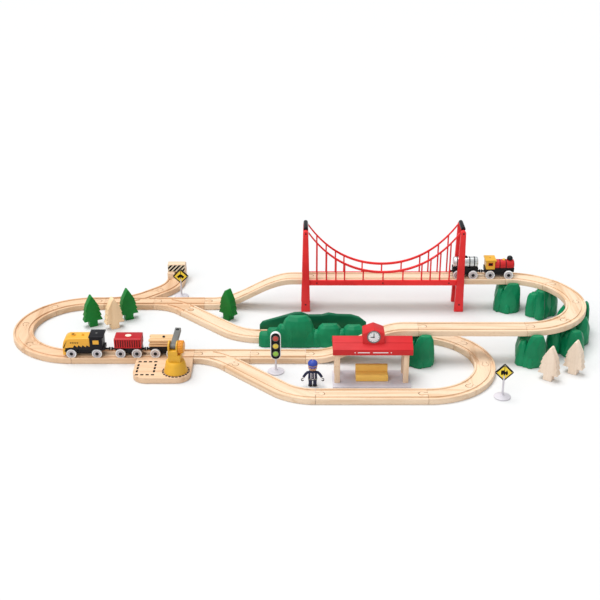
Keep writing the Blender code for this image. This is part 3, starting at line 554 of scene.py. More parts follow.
DECK = span("track_bridge_deck")
WEST = span("track_west_loop")
HIGH = span("track_high_loop")
STATION = span("track_station_loop")
TRACK_H = WEST[5] - WEST[4]
HALF_W = (DECK[3] - DECK[2]) / 2
CURVE_R = (WEST[3] - WEST[2]) / 2 - HALF_W
RISE = DECK[4]
Y_MID = WEST[2] + HALF_W
Y_BACK = WEST[3] - HALF_W
Y_FRONT = STATION[2] + HALF_W
Y_CUT = STATION[3] - HALF_W
WEST_X = WEST[0] + HALF_W + CURVE_R
EAST_X = HIGH[1] - HALF_W - CURVE_R
STATION_X = STATION[1] - HALF_W - CURVE_R
BOARD = span("crane_board")
PEG_REACH = 10.5               # middle of a peg's round head, off the end of its piece
PEG_TIP = 16.2                 # how far a peg stands out of its end
BOARD_X = BOARD[0]
SWITCH_FRONT_X = BOARD[1] - PEG_TIP
SWITCH_BACK_X = SWITCH_FRONT_X - 108.0
SPUR_X = span("track_switch_spur")[0]
RAMP_REAR_X = span("track_ramp_rear")[0]
DECK_X = DECK[0]
DECK_END_X = HIGH[0]
RAMP_FRONT_X = span("track_ramp_front")[0]
HIGH_FRONT_X = span("track_high_front")[0]
MID_SHORT_X = span("track_mid_short")[0]
CUTTING_END_X = STATION_X - 99.4
BRANCH_STEP = Y_MID - Y_FRONT
BRANCH_R = 95.0
BRANCH_LEAD = 12.0             # straight end of a turnout, past its curve
BRANCH_DIAGONAL = (BRANCH_STEP - 2 * BRANCH_R * (1 - cos(EIGHTH))) / sin(EIGHTH)
SPUR_R = 130.0
SPUR_STRAIGHT = 34.0           # between the spur's two curves
# The spur's second curve starts at 45 degrees and ends square to the line at one curve radius from it.
SPUR_REACH = SPUR_R * (1 - cos(EIGHTH)) + SPUR_STRAIGHT * sin(EIGHTH)
SPUR_END_R = (CURVE_R - SPUR_REACH) / cos(EIGHTH)

GROOVE_OFF = 13.3              # middle of a groove, off the track's middle
GROOVE_W = 6.0
GROOVE_D = 3.0
SEAM = 0.25                    # half the gap between two pieces
TURN_STEP = radians(3)


# ---------------------------------------------------------------- track

def path(x, y, heading, *moves, z=0.0):
    """Centre line stations (x, y, z, heading) from moves: a length, or (radius, turn)."""
    stations = [(x, y, z, heading)]
    for step in moves:
        if isinstance(step, tuple):
            radius, turn = step
            side = copysign(1, turn)
            cx = x - side * radius * sin(heading)
            cy = y + side * radius * cos(heading)
            count = max(1, round(abs(turn) / TURN_STEP))
            for i in range(1, count + 1):
                angle = heading + turn * i / count
                x = cx + side * radius * sin(angle)
                y = cy - side * radius * cos(angle)
                stations.append((x, y, z, angle))
            heading += turn
        else:
            x += step * cos(heading)
            y += step * sin(heading)
            stations.append((x, y, z, heading))
    return stations


def ramp_path(x0, x1, y):
    flat_low, flat_high, count = 16.0, 26.0, 40
    slope = x1 - x0 - flat_low - flat_high
    stations = [(x0, y, 0.0, 0.0)]
    for i in range(count + 1):
        t = i / count
        stations.append((x0 + flat_low + slope * t, y, RISE * (1 - cos(pi * t)) / 2, 0.0))
    return stations + [(x1, y, RISE, 0.0)]


def shifted(station, distance):
    x, y, z, a = station
    return (x + distance * cos(a), y + distance * sin(a), z, a)


def ring_at(station, section):
    """Cross-section of (offset to the left, height) points set square to the path at a station."""
    x, y, z, a = station
    return [(x - off * sin(a), y + off * cos(a), z + h) for off, h in section]


def sweep(stations, section):
    return loft([ring_at(station, section) for station in stations])


def track_section(drawn_in=0.0):
    """Grooved cross-section with eased edges, drawn inwards."""
    floor = TRACK_H - GROOVE_D
    points = [(-HALF_W, 0), (-HALF_W, TRACK_H)]
    radii = [0.9, 1.3]
    for side in (-1, 1):
        left = side * GROOVE_OFF - GROOVE_W / 2
        right = left + GROOVE_W
        points += [(left, TRACK_H), (left, floor), (right, floor), (right, TRACK_H)]
        radii += [0.5, 0.8, 0.8, 0.5]
    points += [(HALF_W, TRACK_H), (HALF_W, 0)]
    radii += [1.3, 0.9]
    section = rounded(points, radii, 3)
    wide = 1 - drawn_in / HALF_W
    tall = 1 - 2 * drawn_in / TRACK_H
    return [(off * wide, drawn_in + h * tall) for off, h in section]


def plain_section():
    corners = [(-HALF_W, 0), (-HALF_W, TRACK_H), (HALF_W, TRACK_H), (HALF_W, 0)]
    return rounded(corners, [0.9, 1.3, 1.3, 0.9], 3)


def groove_cutters(stations):
    longer = [shifted(stations[0], -1.0)] + stations[1:-1] + [shifted(stations[-1], 1.0)]
    cutters = []
    for side in (-1, 1):
        left = side * GROOVE_OFF - GROOVE_W / 2
        right = left + GROOVE_W
        floor = TRACK_H - GROOVE_D
        section = rounded([(left, floor), (left, TRACK_H + 1), (right, TRACK_H + 1), (right, floor)],
                          [0.8, 0, 0, 0.8], 3)
        cutters.append(sweep(longer, section))
    return cutters


def eased_sweep(stations):
    """Track body whose two ends are chamfered, so that the seams show."""
    start, end = stations[0], stations[-1]
    ease = 0.45
    small = track_section(ease)
    middle = [shifted(start, SEAM + ease)] + stations[1:-1] + [shifted(end, -SEAM - ease)]
    rings = [ring_at(station, track_section()) for station in middle]
    return loft([ring_at(shifted(start, SEAM), small)] + rings + [ring_at(shifted(end, -SEAM), small)])


def key_outline(neck, radius, root):
    start = asin(neck / 2 / radius)
    head = arc_points(PEG_REACH, 0, radius, pi + start, 3 * pi - start, 28)
    return [(root, neck / 2), (root, -neck / 2)] + head


def peg(station, out):
    """Round-headed peg; out is 1 at a path's end and -1 at its start."""
    x, y, z, a = shifted(station, -out * SEAM)
    bm = prism(key_outline(6.0, 5.6, -3.0), 0.15, TRACK_H - 0.15)
    return move(bm, x, y, z, turn=a if out > 0 else a + pi)


def socket(station, out):
    x, y, z, a = shifted(station, -out * SEAM)
    bm = prism(key_outline(7.8, 6.6, -2.0), -1.0, TRACK_H + 1.0)
    return move(bm, x, y, z, turn=a + pi if out > 0 else a)


WARM_WEST = -250.0             # the western pieces are cut from a warmer batch of beech


def finish_track(name, bm, node, pegs, sockets, origin, heading, mat=BEECH):
    if mat is BEECH and origin[0] < WARM_WEST:
        mat = BEECH_WARM
    if pegs:
        bm = unite(bm, *pegs)
    if sockets:
        bm = cut(bm, *sockets)
    piece(name, bm, mat, node, bevel=0.35, origin=origin, heading=heading, bevel_angle=55)


def road(name, stations, node=None, end="peg", mat=BEECH):
    """One plain piece of track with a socket at its start; its own axes are square to the layout."""
    pegs = []
    sockets = [socket(stations[0], -1)]
    if end == "peg":
        pegs.append(peg(stations[-1], 1))
    else:
        sockets.append(socket(stations[-1], 1))
    (x0, y0, z0, _), (x1, y1, _, _) = stations[0], stations[-1]
    heading = QUARTER * round(atan2(y1 - y0, x1 - x0) / QUARTER)
    finish_track(name, eased_sweep(stations), node or name, pegs, sockets, (x0, y0, z0), heading, mat)


def switch(name, straight, branch):
    trimmed = []
    for stations in (straight, branch):
        trimmed.append([shifted(stations[0], SEAM)] + stations[1:-1] + [shifted(stations[-1], -SEAM)])
    bm = unite(sweep(trimmed[0], plain_section()), sweep(trimmed[1], plain_section()))
    bm = cut(bm, *groove_cutters(trimmed[0]), *groove_cutters(trimmed[1]))
    pegs = [peg(straight[-1], 1), peg(branch[-1], 1)]
    x, y, z, _ = straight[0]
    finish_track(name, bm, name, pegs, [socket(straight[0], -1)], (x, y, z), 0.0)


def curves(tag, node, x, y, heading, count, z=0.0, last="peg"):
    """A run of 45 degree curves that turn right."""
    for i in range(count):
        stations = path(x, y, heading, (CURVE_R, -EIGHTH), z=z)
        road(f"{tag}_{i + 1}", stations, node, end=last if i == count - 1 else "peg")
        x, y, _, heading = stations[-1]


def branch_line(switch_name, branch_name, x, y, length):
    straight = path(x, y, 0, length)
    turnout = path(x, y, 0, (BRANCH_R, -EIGHTH), BRANCH_LEAD)
    switch(switch_name, straight, turnout)
    bx, by, _, heading = turnout[-1]
    diagonal = path(bx, by, heading, BRANCH_DIAGONAL - BRANCH_LEAD, (BRANCH_R, EIGHTH))
    road(branch_name, diagonal, mat=BEECH_SLANTED)


def branch_end_x(x):
    return x + 2 * BRANCH_R * sin(EIGHTH) + BRANCH_DIAGONAL * cos(EIGHTH)


def build_tracks():
    road("straight_west", path(BOARD_X, Y_MID, pi, BOARD_X - WEST_X), "track_west_loop")
    curves("curve_west", "track_west_loop", WEST_X, Y_MID, pi, 4)
    road("straight_west_short", path(WEST_X, Y_BACK, 0, SPUR_X - WEST_X), "track_west_loop")
    spur_turn = path(SPUR_X, Y_BACK, 0, (SPUR_R, EIGHTH), SPUR_STRAIGHT / 2)
    switch("track_switch_spur", path(SPUR_X, Y_BACK, 0, SWITCH_BACK_X - SPUR_X), spur_turn)
    sx, sy, _, heading = spur_turn[-1]
    road("track_spur_curve", path(sx, sy, heading, SPUR_STRAIGHT / 2, (SPUR_END_R, EIGHTH)))
    branch_line("track_switch_back", "track_back_branch", SWITCH_BACK_X, Y_BACK, RAMP_REAR_X - SWITCH_BACK_X)
    front_length = MID_SHORT_X - SWITCH_FRONT_X
    branch_line("track_switch_front", "track_front_branch", SWITCH_FRONT_X, Y_MID, front_length)
    road("track_mid_short", path(MID_SHORT_X, Y_MID, 0, RAMP_FRONT_X - MID_SHORT_X))
    road("track_ramp_rear", ramp_path(RAMP_REAR_X, DECK_X, Y_BACK))
    road("track_ramp_front", ramp_path(RAMP_FRONT_X, HIGH_FRONT_X, Y_MID))
    road("track_bridge_deck", path(DECK_X, Y_BACK, 0, DECK_END_X - DECK_X, z=RISE))
    road("straight_high_rear", path(DECK_END_X, Y_BACK, 0, EAST_X - DECK_END_X, z=RISE), "track_high_loop")
    curves("curve_high", "track_high_loop", EAST_X, Y_BACK, 0, 4, RISE, "socket")
    road("track_high_front", path(HIGH_FRONT_X, Y_MID, 0, EAST_X - HIGH_FRONT_X, z=RISE))
    cut_start = branch_end_x(SWITCH_BACK_X)
    road("track_cutting", path(cut_start, Y_CUT, 0, CUTTING_END_X - cut_start))
    station_rear = path(CUTTING_END_X, Y_CUT, 0, STATION_X - CUTTING_END_X)
    road("straight_station_rear", station_rear, "track_station_loop")
    curves("curve_station", "track_station_loop", STATION_X, Y_CUT, 0, 4)
    front_end = branch_end_x(SWITCH_FRONT_X)
    last = path(STATION_X, Y_FRONT, pi, STATION_X - front_end)
    road("straight_station_front", last, "track_station_loop", end="socket")


# ---------------------------------------------------------------- crane board and buffer

def ring_dash(cx, cy, inner, outer, middle, half, low, high):
    outline = arc_points(cx, cy, outer, middle - half, middle + half, 3)
    outline += arc_points(cx, cy, inner, middle + half, middle - half, 3)
    return prism(outline, low, high)


def build_board():
    """Track that widens into a board, with a dashed ring round the crane and a dashed bay."""
    stations = path(BOARD_X, Y_MID, 0, SWITCH_FRONT_X - BOARD_X)
    left, right = BOARD_X + SEAM, SWITCH_FRONT_X - SEAM
    front, corner = BOARD[2], 27.0
    outline = [(right, Y_MID - 5), (left, Y_MID - 5)]
    outline += arc_points(left + corner, front + corner, corner, pi, 3 * QUARTER, 12)
    outline += arc_points(right - corner, front + corner, corner, 3 * QUARTER, tau, 12)
    trimmed = [shifted(stations[0], SEAM), shifted(stations[-1], -SEAM)]
    bm = unite(sweep(trimmed, plain_section()), prism(outline, 0, TRACK_H, 0.9))
    bm = cut(bm, *groove_cutters(trimmed))
    finish_track("crane_board", bm, "crane_board", [peg(stations[-1], 1)], [socket(stations[0], -1)],
                 (left, Y_MID, 0), 0.0)

    crane_x, crane_y = middle_of("crane_tower")
    low, high = TRACK_H - 0.1, TRACK_H + 0.08
    dashes = []
    count = 22
    for i in range(count):
        dashes.append(ring_dash(crane_x, crane_y, 22.7, 26.4, tau * i / count, 0.098, low, high))
    x0, x1 = left + 5.6, left + 41.8
    y0, y1 = front + 10.4, front + 67.0
    length, wide = 6.2, 5.0
    for k in range(4):
        x = x0 + (x1 - x0 - length) * k / 3
        for y in (y0, y1 - wide):
            dashes.append(box(x, x + length, y, y + wide, low, high))
    length, wide = 8.6, 3.8
    for k in range(1, 4):
        y = y0 + (y1 - y0 - length) * k / 4
        for x in (x0, x1 - wide):
            dashes.append(box(x, x + wide, y, y + length, low, high))
    piece("crane_board_dashes", merged(*dashes), PRINT_BLACK, "crane_board")


def build_buffer():
    x0, x1, y0, y1, _, z1 = span("buffer_stop")
    low = block(x0, x1, y0, y1, 0, 24, 1.2)
    keyhole = move(prism(key_outline(7.4, 6.3, -2.0), -1.0, 26.0), x0 + HALF_W, y0, turn=QUARTER)
    piece("buffer_block", cut(low, keyhole), BEECH, "buffer_stop", origin=(x0, y0, 0), bevel=0.2,
          bevel_angle=60)
    slope = rounded([(y0 + 8, 24), (y1, 24), (y1, z1 - 7), (y1 - 12, z1), (y0 + 8, z1)], [0, 0, 3, 3, 1.2])
    piece("buffer_top", end_prism(slope, x0 + 0.4, x1 - 0.4, 0.8), BEECH, "buffer_stop", origin=(x0, y0, 24))
    face = y0 + 8
    low, high = z1 - 16.5, z1 - 2.0
    panel = rounded(rectangle(x0 + 1.2, x1 - 1.2, low, high), 1.0)
    piece("buffer_panel", side_prism(panel, face - 0.3, face + 0.2), PRINT_CREAM, "buffer_stop")
    stripes = []
    lean, wide, pitch = high - low, 5.4, 9.4
    for k in range(-1, 5):
        x = x0 + 1.6 + pitch * k
        corners = [(x, low), (x + wide, low), (x + wide + lean, high), (x + lean, high)]
        shape = clip_x(corners, x0 + 1.4, x1 - 1.4)
        if shape:
            stripes.append(side_prism(shape, face - 0.5, face - 0.2))
    piece("buffer_stripes", merged(*stripes), PRINT_BLACK, "buffer_stop")


# ---------------------------------------------------------------- bridge

LEG_IN = HALF_W + 0.6          # inner and outer faces of the tower legs, off the track's middle
LEG_OUT = HALF_W + 10.0
LEG_TOP = 184.0
LEG_TOP_HALF = 5.2
BAR_R = 4.7
TOWERS = {}                    # middle and half length along X, and height
for tower in ("bridge_tower_west", "bridge_tower_east"):
    edges = span(tower)
    TOWERS[tower] = ((edges[0] + edges[1]) / 2, (edges[1] - edges[0]) / 2, edges[5])


def peg_dot(x, y, z, radius=1.7):
    return soft_disc(radius, -0.5, 0.5, 0.3, 20, (x, y, z), "Y")


def build_tower(name):
    x, foot, top = TOWERS[name]
    outline = [(x - foot + 0.8, 0), (x + foot - 0.8, 0), (x + foot, 1.2)]
    outline += arc_points(x, LEG_TOP - LEG_TOP_HALF, LEG_TOP_HALF, 0, pi, 14) + [(x - foot, 1.2)]
    legs = []
    dots = []
    for side in (-1, 1):
        y0, y1 = sorted((Y_BACK + side * LEG_IN, Y_BACK + side * LEG_OUT))
        legs.append(side_prism(outline, y0, y1, 1.1))
        for z in (17.0, LEG_TOP - 6.0):
            for y in (y0, y1):
                dots.append(peg_dot(x, y, z))
    piece(name + "_legs", merged(*legs), BRIDGE_RED, name, origin=(x, Y_BACK, 0), grain="Z")
    piece(name + "_dots", merged(*dots), BLACK_PAINT, name)
    bar = soft_disc(BAR_R, -LEG_IN - 0.6, LEG_IN + 0.6, 0.8, 32, (x, Y_BACK, top - BAR_R), "Y")
    piece(name + "_top_bar", bar, BLACK_PAINT, name)
    under = block(x - 6.6, x + 6.6, Y_BACK - LEG_IN - 0.5, Y_BACK + LEG_IN + 0.5, RISE - 12, RISE - 0.5, 0.8)
    piece(name + "_under_bar", under, DARK_RED, name, grain="Y", origin=(x, Y_BACK, RISE))


CABLE_LOW = 89.5               # height of the cable's lowest point
CABLE_HIGH = 178.0
CABLE_HALF = 2.4
CABLE_SAG = 1.9                # how many times its own scale the hanging curve reaches to either side
# Hangers to either side of the middle; the last also marks the outer pegs.
HANGER_AT = (0.0, 41.8, 81.0, 99.3, 119.2, 139.3)


def build_truss(name):
    """Deck beam, cable and hangers cut from one flat board."""
    west = TOWERS["bridge_tower_west"][0]
    east = TOWERS["bridge_tower_east"][0]
    x0, x1, y0, y1, low, _ = span(name)
    middle = (west + east) / 2
    reach = (east - west) / 2 - LEG_TOP_HALF - 0.6
    beam_high = low + 11.4

    def height(x):
        t = (x - middle) / reach
        return CABLE_LOW + (CABLE_HIGH - CABLE_LOW) * (cosh(CABLE_SAG * t) - 1) / (cosh(CABLE_SAG) - 1)

    shells = [block(x0, x1, y0, y1, low, beam_high, 0.7)]
    line = [middle - reach + 2 * reach * i / 72 for i in range(73)]
    outline = [(x, height(x) - CABLE_HALF) for x in line]
    outline += [(x, height(x) + CABLE_HALF) for x in reversed(line)]
    shells.append(side_prism(outline, y0 + 0.6, y1 - 0.6, 0.7))
    for x in sorted({middle + way * step for step in HANGER_AT for way in (-1, 1)}):
        shells.append(block(x - 1.5, x + 1.5, y0 + 1.0, y1 - 1.0, beam_high - 1, height(x) + 0.5, 0.4))
    piece(name, merged(*shells), BRIDGE_RED, name, origin=(middle, y0, low), smooth=40)
    face = y0 if y1 < Y_BACK else y1
    dots = [peg_dot(middle + step, face, low + 5.7, 1.5) for step in (-HANGER_AT[-1], 0, HANGER_AT[-1])]
    piece(name + "_dots", merged(*dots), BLACK_PAINT, name)


# ---------------------------------------------------------------- rocks

def uneven(i, phase, low, high):
    """Repeatable scatter between low and high."""
    value = sin(2.399 * i + phase) * 0.6 + sin(4.1 * i + 1.7 * phase) * 0.4
    return low + (high - low) * (value + 1) / 2


def hull(points):
    """Closed convex solid round the points."""
    bm = bmesh.new()
    for point in points:
        bm.verts.new(point)
    result = bmesh.ops.convex_hull(bm, input=bm.verts)
    left_over = result["geom_interior"] + result["geom_unused"]
    spare = {item for item in left_over if isinstance(item, bmesh.types.BMVert)}
    bmesh.ops.delete(bm, geom=list(spare), context="VERTS")
    bmesh.ops.dissolve_limit(bm, angle_limit=0.05, verts=bm.verts, edges=bm.edges)
    return bm


# Rings of a rock from the floor up: part of its height and part of its reach.
BOULDER_RINGS = ((0.0, 0.97), (0.30, 1.0), (0.62, 0.92), (0.86, 0.74), (1.0, 0.50))


BOULDER_SIDES = 7


def boulder(x, y, wide, deep, top, seed, lean=0.0):
    """Faceted rock standing on the floor; its top is moved along by lean."""
    points = []
    for level, (part, spread) in enumerate(BOULDER_RINGS):
        for i in range(BOULDER_SIDES):
            angle = tau * (i + 0.4 * (level % 2)) / BOULDER_SIDES + seed
            rough = spread * uneven(i + 3 * level, seed, 0.86, 1.0)
            middle = x + lean * part
            out = deep * rough * sin(angle)
            points.append((middle + wide * rough * cos(angle), y + out, top * part))
    return hull(points)


# Lobes of a pillar: place along and across the track, reach along and across, height against the deck's
# underside and, for some, how far the top is moved along.
STRAIGHT_LOBES = (
    (0, 3, 28, 31, -0.4), (1, -27.5, 24, 12.8, 5.5, 7), (-19, -18, 12, 15, -9, 3), (-3, -35.5, 8, 6.5, -38),
    (20, -14, 9, 18, -16), (2, 24, 26, 15, -6),
)
LOOP_LOBES = (
    (0, -4, 24, 29, -0.4), (-12, -24, 15, 12, -9), (9, -26, 13, 10, 4), (9, 12, 19, 20, -8),
    (-9, 16, 18, 17, -14),
)
# Turn of the track above, seed, lobes that follow the track, and lobes square to the layout.
PILLARS = {
    "pillar_west": (0, 0.4, STRAIGHT_LOBES, ()),
    "pillar_front": (0, 1.9, STRAIGHT_LOBES, ()),
    "pillar_back": (0, 3.1, STRAIGHT_LOBES, ()),
    "pillar_loop_back": (-EIGHTH, 4.0, LOOP_LOBES, ((-20, -6, 16, 18, -8),)),
    "pillar_loop_front": (-3 * EIGHTH, 2.6, LOOP_LOBES,
                          ((-28, -8, 17, 18, -6), (34, 34, 22, 20, -1), (10, -24, 22, 14, -4))),
    "pillar_loop_end": (-QUARTER, 5.2, LOOP_LOBES[:1] + LOOP_LOBES[3:],
                        ((26.0, -6, 6.6, 20, 6), (24.5, 14, 8.4, 13, -6))),
}
ROCK_FINISH = {"smooth": 22, "bevel_angle": 12, "segments": 3}


def build_pillar(name):
    """Rock column of several boulders; the foremost stands a little higher than the deck's underside."""
    turn, seed, lobes, extra = PILLARS[name]
    x, y = middle_of(name)
    shells = []
    for k, (along, across, wide, deep, over, *lean) in enumerate(lobes):
        lobe = boulder(along, across, wide, deep, RISE + over, seed + k, *lean)
        shells.append(move(lobe, x, y, turn=turn))
    for k, (along, across, wide, deep, over) in enumerate(extra):
        shells.append(move(boulder(along, across, wide, deep, RISE + over, seed - k), x, y))
    piece(name, merged(*shells), ROCK, name, bevel=1.2, origin=(x, y, 0), **ROCK_FINISH)


# Boulders of the front wall: middle along the wall's length, half length, height, thickness.
FRONT_BOULDERS = (
    (13, 18, 29, 19.5), (30, 19, 37, 20.5), (51, 19, 45, 21), (78, 37, 64.0, 22), (66, 20, 57, 21),
    (97, 22, 40, 21.5), (141, 31, 46, 22), (115, 14, 33, 20.5), (189, 27, 43.5, 22), (164, 16, 34.5, 20.5),
)


def build_front_wall():
    """Rocks side by side with one flat face beside the track."""
    x0, x1, _, near, _, _ = span("rock_wall_front")
    shells = []
    for k, (middle, half, top, thick) in enumerate(FRONT_BOULDERS):
        points = []
        for level, (part, spread) in enumerate(BOULDER_RINGS):
            for i in range(7):
                angle = pi * i / 6
                rough = spread * uneven(i + 3 * level, 1.3 * k, 0.90, 1.0)
                x = min(max(x0 + middle + half * rough * cos(angle), x0 + 0.1), x1 - 0.1)
                points.append((x, near - 0.1 - thick * rough * sin(angle) ** 0.6, top * part))
        shells.append(hull(points))
    piece("rock_wall_front", merged(*shells), ROCK, "rock_wall_front", bevel=1.2, origin=(x0, near, 0),
          **ROCK_FINISH)


# Rows of the rear wall from west to east: place along the wall, height, thickness.
CUTTING_BACK = (
    (-80, 20, 12), (-74, 28, 13), (-62, 32, 13), (-38, 39, 14), (-10, 48, 15), (4, 49, 15), (18, 43, 14),
    (46, 43, 16), (60, 47, 16), (78, 44, 15), (106, 43, 16), (122, 38, 14), (137, 26, 12),
)


def build_rear_wall():
    """Row of grown-together rocks with its steep face beside the track."""
    name = "rock_wall_rear"
    x0, _, near, _, _, _ = span(name)
    shift = x0 - CUTTING_BACK[0][0]
    rings = []
    for i, (x, height, thick) in enumerate(CUTTING_BACK):
        rough = uneven(i, 0.7, 0.88, 1.0)
        profile = (
            (0.0, 0.0), (0.0, height * 0.72), (thick * 0.10, height * 0.93), (thick * 0.34, height),
            (thick * 0.62 * rough, height * 0.93), (thick * 0.86 * rough, height * 0.66),
            (thick * 0.97 * rough, height * 0.30), (thick, 2.0), (thick - 1.0, 0.0),
        )
        rings.append([(x + shift, near + out, z) for out, z in profile])
    # The darker rock green here is painted shade from the front wall.
    piece(name, loft(rings), SHADED_ROCK, name, bevel=1.5, origin=(x0, near, 0), **ROCK_FINISH)


# ---------------------------------------------------------------- station

def build_station():
    """Platform board and four posts."""
    x0, x1, y0, y1, _, _ = span("station_base")
    node = "station_base"
    piece("station_floor", block(x0, x1, y0, y1, 0, 2.4, 0.5), BASE_GREY, node, origin=(x0, y0, 0))
    _, _, front, back, eave, _ = span("station_roof")
    half = 5.0
    posts = {"west": x0 + 8.6, "east": x1 - 9.6}
    for tag, x in posts.items():
        for where, y in (("front", front + 11.1), ("rear", back - 9.5)):
            post = block(x - half, x + half, y - half, y + half, 2.2, eave - 0.3, 0.7)
            piece(f"station_post_{tag}_{where}", post, BEECH, node, origin=(x, y, 0), grain="Z")


def build_station_roof():
    """Two pitched boards a side between fascias and end boards, with dashes in place of lettering."""
    node = "station_roof"
    x0, x1, front, back, eave, tip = span(node)
    ridge_y = (front + back) / 2
    ridge_z = tip - 20.3
    high = eave + 11.4

    def gable(inwards, low, side_top, top):
        return [(front + inwards, low), (back - inwards, low), (back - inwards, side_top), (ridge_y, top),
                (front + inwards, side_top)]

    core = gable(2.4, eave + 0.6, high - 1.6, ridge_z - 3.2)
    piece("station_roof_core", end_prism(core, x0 + 1.5, x1 - 1.5), DARK_RED, node, origin=(x0, front, eave))
    for tag, y, way in (("front", front, 1), ("rear", back, -1)):
        ya, yb = sorted((y, y + way * 3.0))
        board = block(x0, x1, ya, yb, eave, high - 0.6, 0.6)
        piece("station_fascia_" + tag, board, RED, node, origin=(x0, y, eave))
        run = Vector((ridge_y - y, ridge_z - high))
        length = run.length
        along = run.normalized()
        up = Vector((-along.y, along.x)) * way
        for k in range(2):
            start = Vector((y, high)) + along * (length * k / 2 + (0.3 if k else 0.0))
            end = Vector((y, high)) + along * (length * (k + 1) / 2 - 0.3)
            corners = [start - up * 3.4, end - up * 3.4, end, start]
            shape = [tuple(corner) for corner in corners]
            piece(f"station_roof_board_{tag}_{k + 1}", end_prism(shape, x0, x1, 0.7), ROOF_RED, node,
                  origin=(x0, y, high + 8 * k))
    for tag, xa, xb in (("west", x0 + 0.4, x0 + 2.6), ("east", x1 - 2.6, x1 - 0.4)):
        board = end_prism(gable(3.0, eave + 0.3, high - 1.0, ridge_z - 3.5), xa, xb)
        piece("station_end_" + tag, board, RED, node, origin=(xa, front, eave), grain="Y")
    marks = []
    middle = (x0 + x1) / 2
    for offset, length in ((-33, 2.2), (-17, 22.0), (14, 28.0), (33.5, 2.2)):
        x = middle + offset
        marks.append(box(x - length / 2, x + length / 2, front - 0.12, front + 0.1, eave + 5.0, eave + 6.6))
    piece("station_fascia_line", merged(*marks), WHITE, node)


def build_clock():
    """Gable block on the station roof with a clock on its front."""
    node = "station_roof"
    west, _, front, back, _, tip = span(node)
    x = west + 75.5
    half, low, side_top, z = 20, 76, 102, 95.4
    near = (front + back) / 2 - 16.5
    corners = [(x - half, low), (x + half, low), (x + half, side_top), (x, tip), (x - half, side_top)]
    gable = side_prism(rounded(corners, [0, 0, 1.5, 1.0, 1.5]), near, near + 33.0, 0.9)
    piece("station_gable", gable, RED, node, origin=(x, near, low), grain="Z")
    profile = [(12.5, 0.8), (12.5, -0.9), (12.0, -1.5), (11.0, -1.5), (10.4, -0.5)]
    piece("station_clock_ring", turned(profile, 48, (x, near, z), "Y"), GREY, node)
    piece("station_clock_dial", soft_disc(10.3, -0.9, 0.0, 0.2, 48, (x, near, z), "Y"), WHITE, node)
    ticks = []
    for i in range(12):
        tick = box(-0.3, 0.3, near - 1.05, near - 0.85, 8.0, 9.6)
        ticks.append(move(move(tick, turn=tau * i / 12, axis="Y"), x, 0, z))
    hands = []
    for corners, out in (([(-0.8, -1.5), (0.8, -1.5), (0.6, 7.6), (-0.6, 7.6)], 1.25),
                         ([(1.4, -0.9), (1.4, 0.9), (-6.4, 0.7), (-6.4, -0.7)], 1.45)):
        hands.append(move(side_prism(rounded(corners, 0.4), near - out, near - out + 0.25), x, 0, z))
    boss = soft_disc(1.3, -1.5, -0.8, 0.2, 20, (x, near, z), "Y")
    piece("station_clock_hands", merged(*hands, boss, *ticks), PRINT_BLACK, node)


def build_bench():
    node = "station_bench"
    x0, x1, y0, y1, low, top = span(node)
    seat = rounded(rectangle(y0, y0 + 15.6, low, 15.5), [1, 0, 0, 2.2])
    back = rounded([(y0 + 16, low), (y1, low), (y1, top), (y0 + 19, top)], [0, 1, 2, 2])
    # The lighter bench amber is painted light against the roof's shade.
    piece("bench_seat", end_prism(seat, x0, x1, 1.2), BENCH_PAINTED_LIGHT, node, origin=(x0, y0, low))
    piece("bench_back", end_prism(back, x0, x1, 1.2), BENCH_PAINTED_LIGHT, node, origin=(x0, y1, top))


# ---------------------------------------------------------------- signs, figure, trees

def build_stand(name, mat, base_r, pole_top):
    """Domed round foot with a thin pole."""
    x, y = middle_of(name)
    profile = [(base_r - 0.8, 0), (base_r, 0.8), (base_r - 0.2, 1.9), (base_r - 1.5, 2.7), (8.0, 3.6),
               (4.5, 4.2), (3.4, 5.2), (2.6, 5.9), (1.9, 6.0), (1.9, pole_top)]
    foot = turned(profile, 56, (x, y, 0))
    piece(name + "_stand", foot, mat, name, origin=(x, y, 0), grain="Z", smooth=30)
    return x, y


def build_traffic_light():
    x, y = build_stand("traffic_light", BASE_GREY, 16.0, 31)
    node = "traffic_light"
    half, low, high = 9.9, 27.7, 84.9
    outline = arc_points(x, high - half, half, 0, pi, 20)
    outline += arc_points(x, low + half, half, pi, tau, 20)
    piece("traffic_light_case", side_prism(outline, y - 3.3, y + 3.3, 0.8), WHITE, node)
    for tag, side in (("front", -1), ("rear", 1)):
        panel = side_prism(inset(outline, 1.4), *sorted((y + side * 3.0, y + side * 3.48)), 0.15)
        piece("traffic_light_face_" + tag, panel, PRINT_BLACK, node)
    lamps = (("red", LAMP_RED, 72.4), ("yellow", LAMP_YELLOW, 56.2), ("green", LAMP_GREEN, 40.0))
    for tag, mat, z in lamps:
        profile = [(1.6, -4.6), (3.2, -4.45), (4.5, -4.1), (5.2, -3.5), (5.2, -3.0)]
        lens = turned(profile, 40, (x, y, z), "Y")
        piece("traffic_light_" + tag, lens, mat, node)
        ring = rim(circle(x, z, 6.1, 40), y - 3.9, y - 3.3, 0.8)
        piece("traffic_light_ring_" + tag, ring, GREY, node)


def car_mark():
    """Outlines of a plain car, to be put on a road sign."""
    body = [(-9.2, -3.2), (9.2, -3.2), (9.4, 0.8), (6.4, 1.8), (3.4, 5.4), (-4.4, 5.4), (-6.8, 1.8),
            (-9.4, 1.0)]
    return [rounded(body, 0.7), circle(-5.2, -3.4, 2.3, 20), circle(5.2, -3.4, 2.3, 20)]


def engine_mark():
    """Outlines of a plain steam engine, to be put on a road sign."""
    body = [(-8, -3), (8, -3), (8, -1), (7.4, 2.6), (0, 2.6), (0, 6.2), (-8, 6.2)]
    stack = [(4.0, 2.0), (6.4, 2.0), (6.9, 5.6), (3.5, 5.6)]
    wheels = [circle(x, -4.0, 2.2, 20) for x in (-5.4, 0, 5.4)]
    return [rounded(body, 0.6), rounded(stack, 0.3)] + wheels


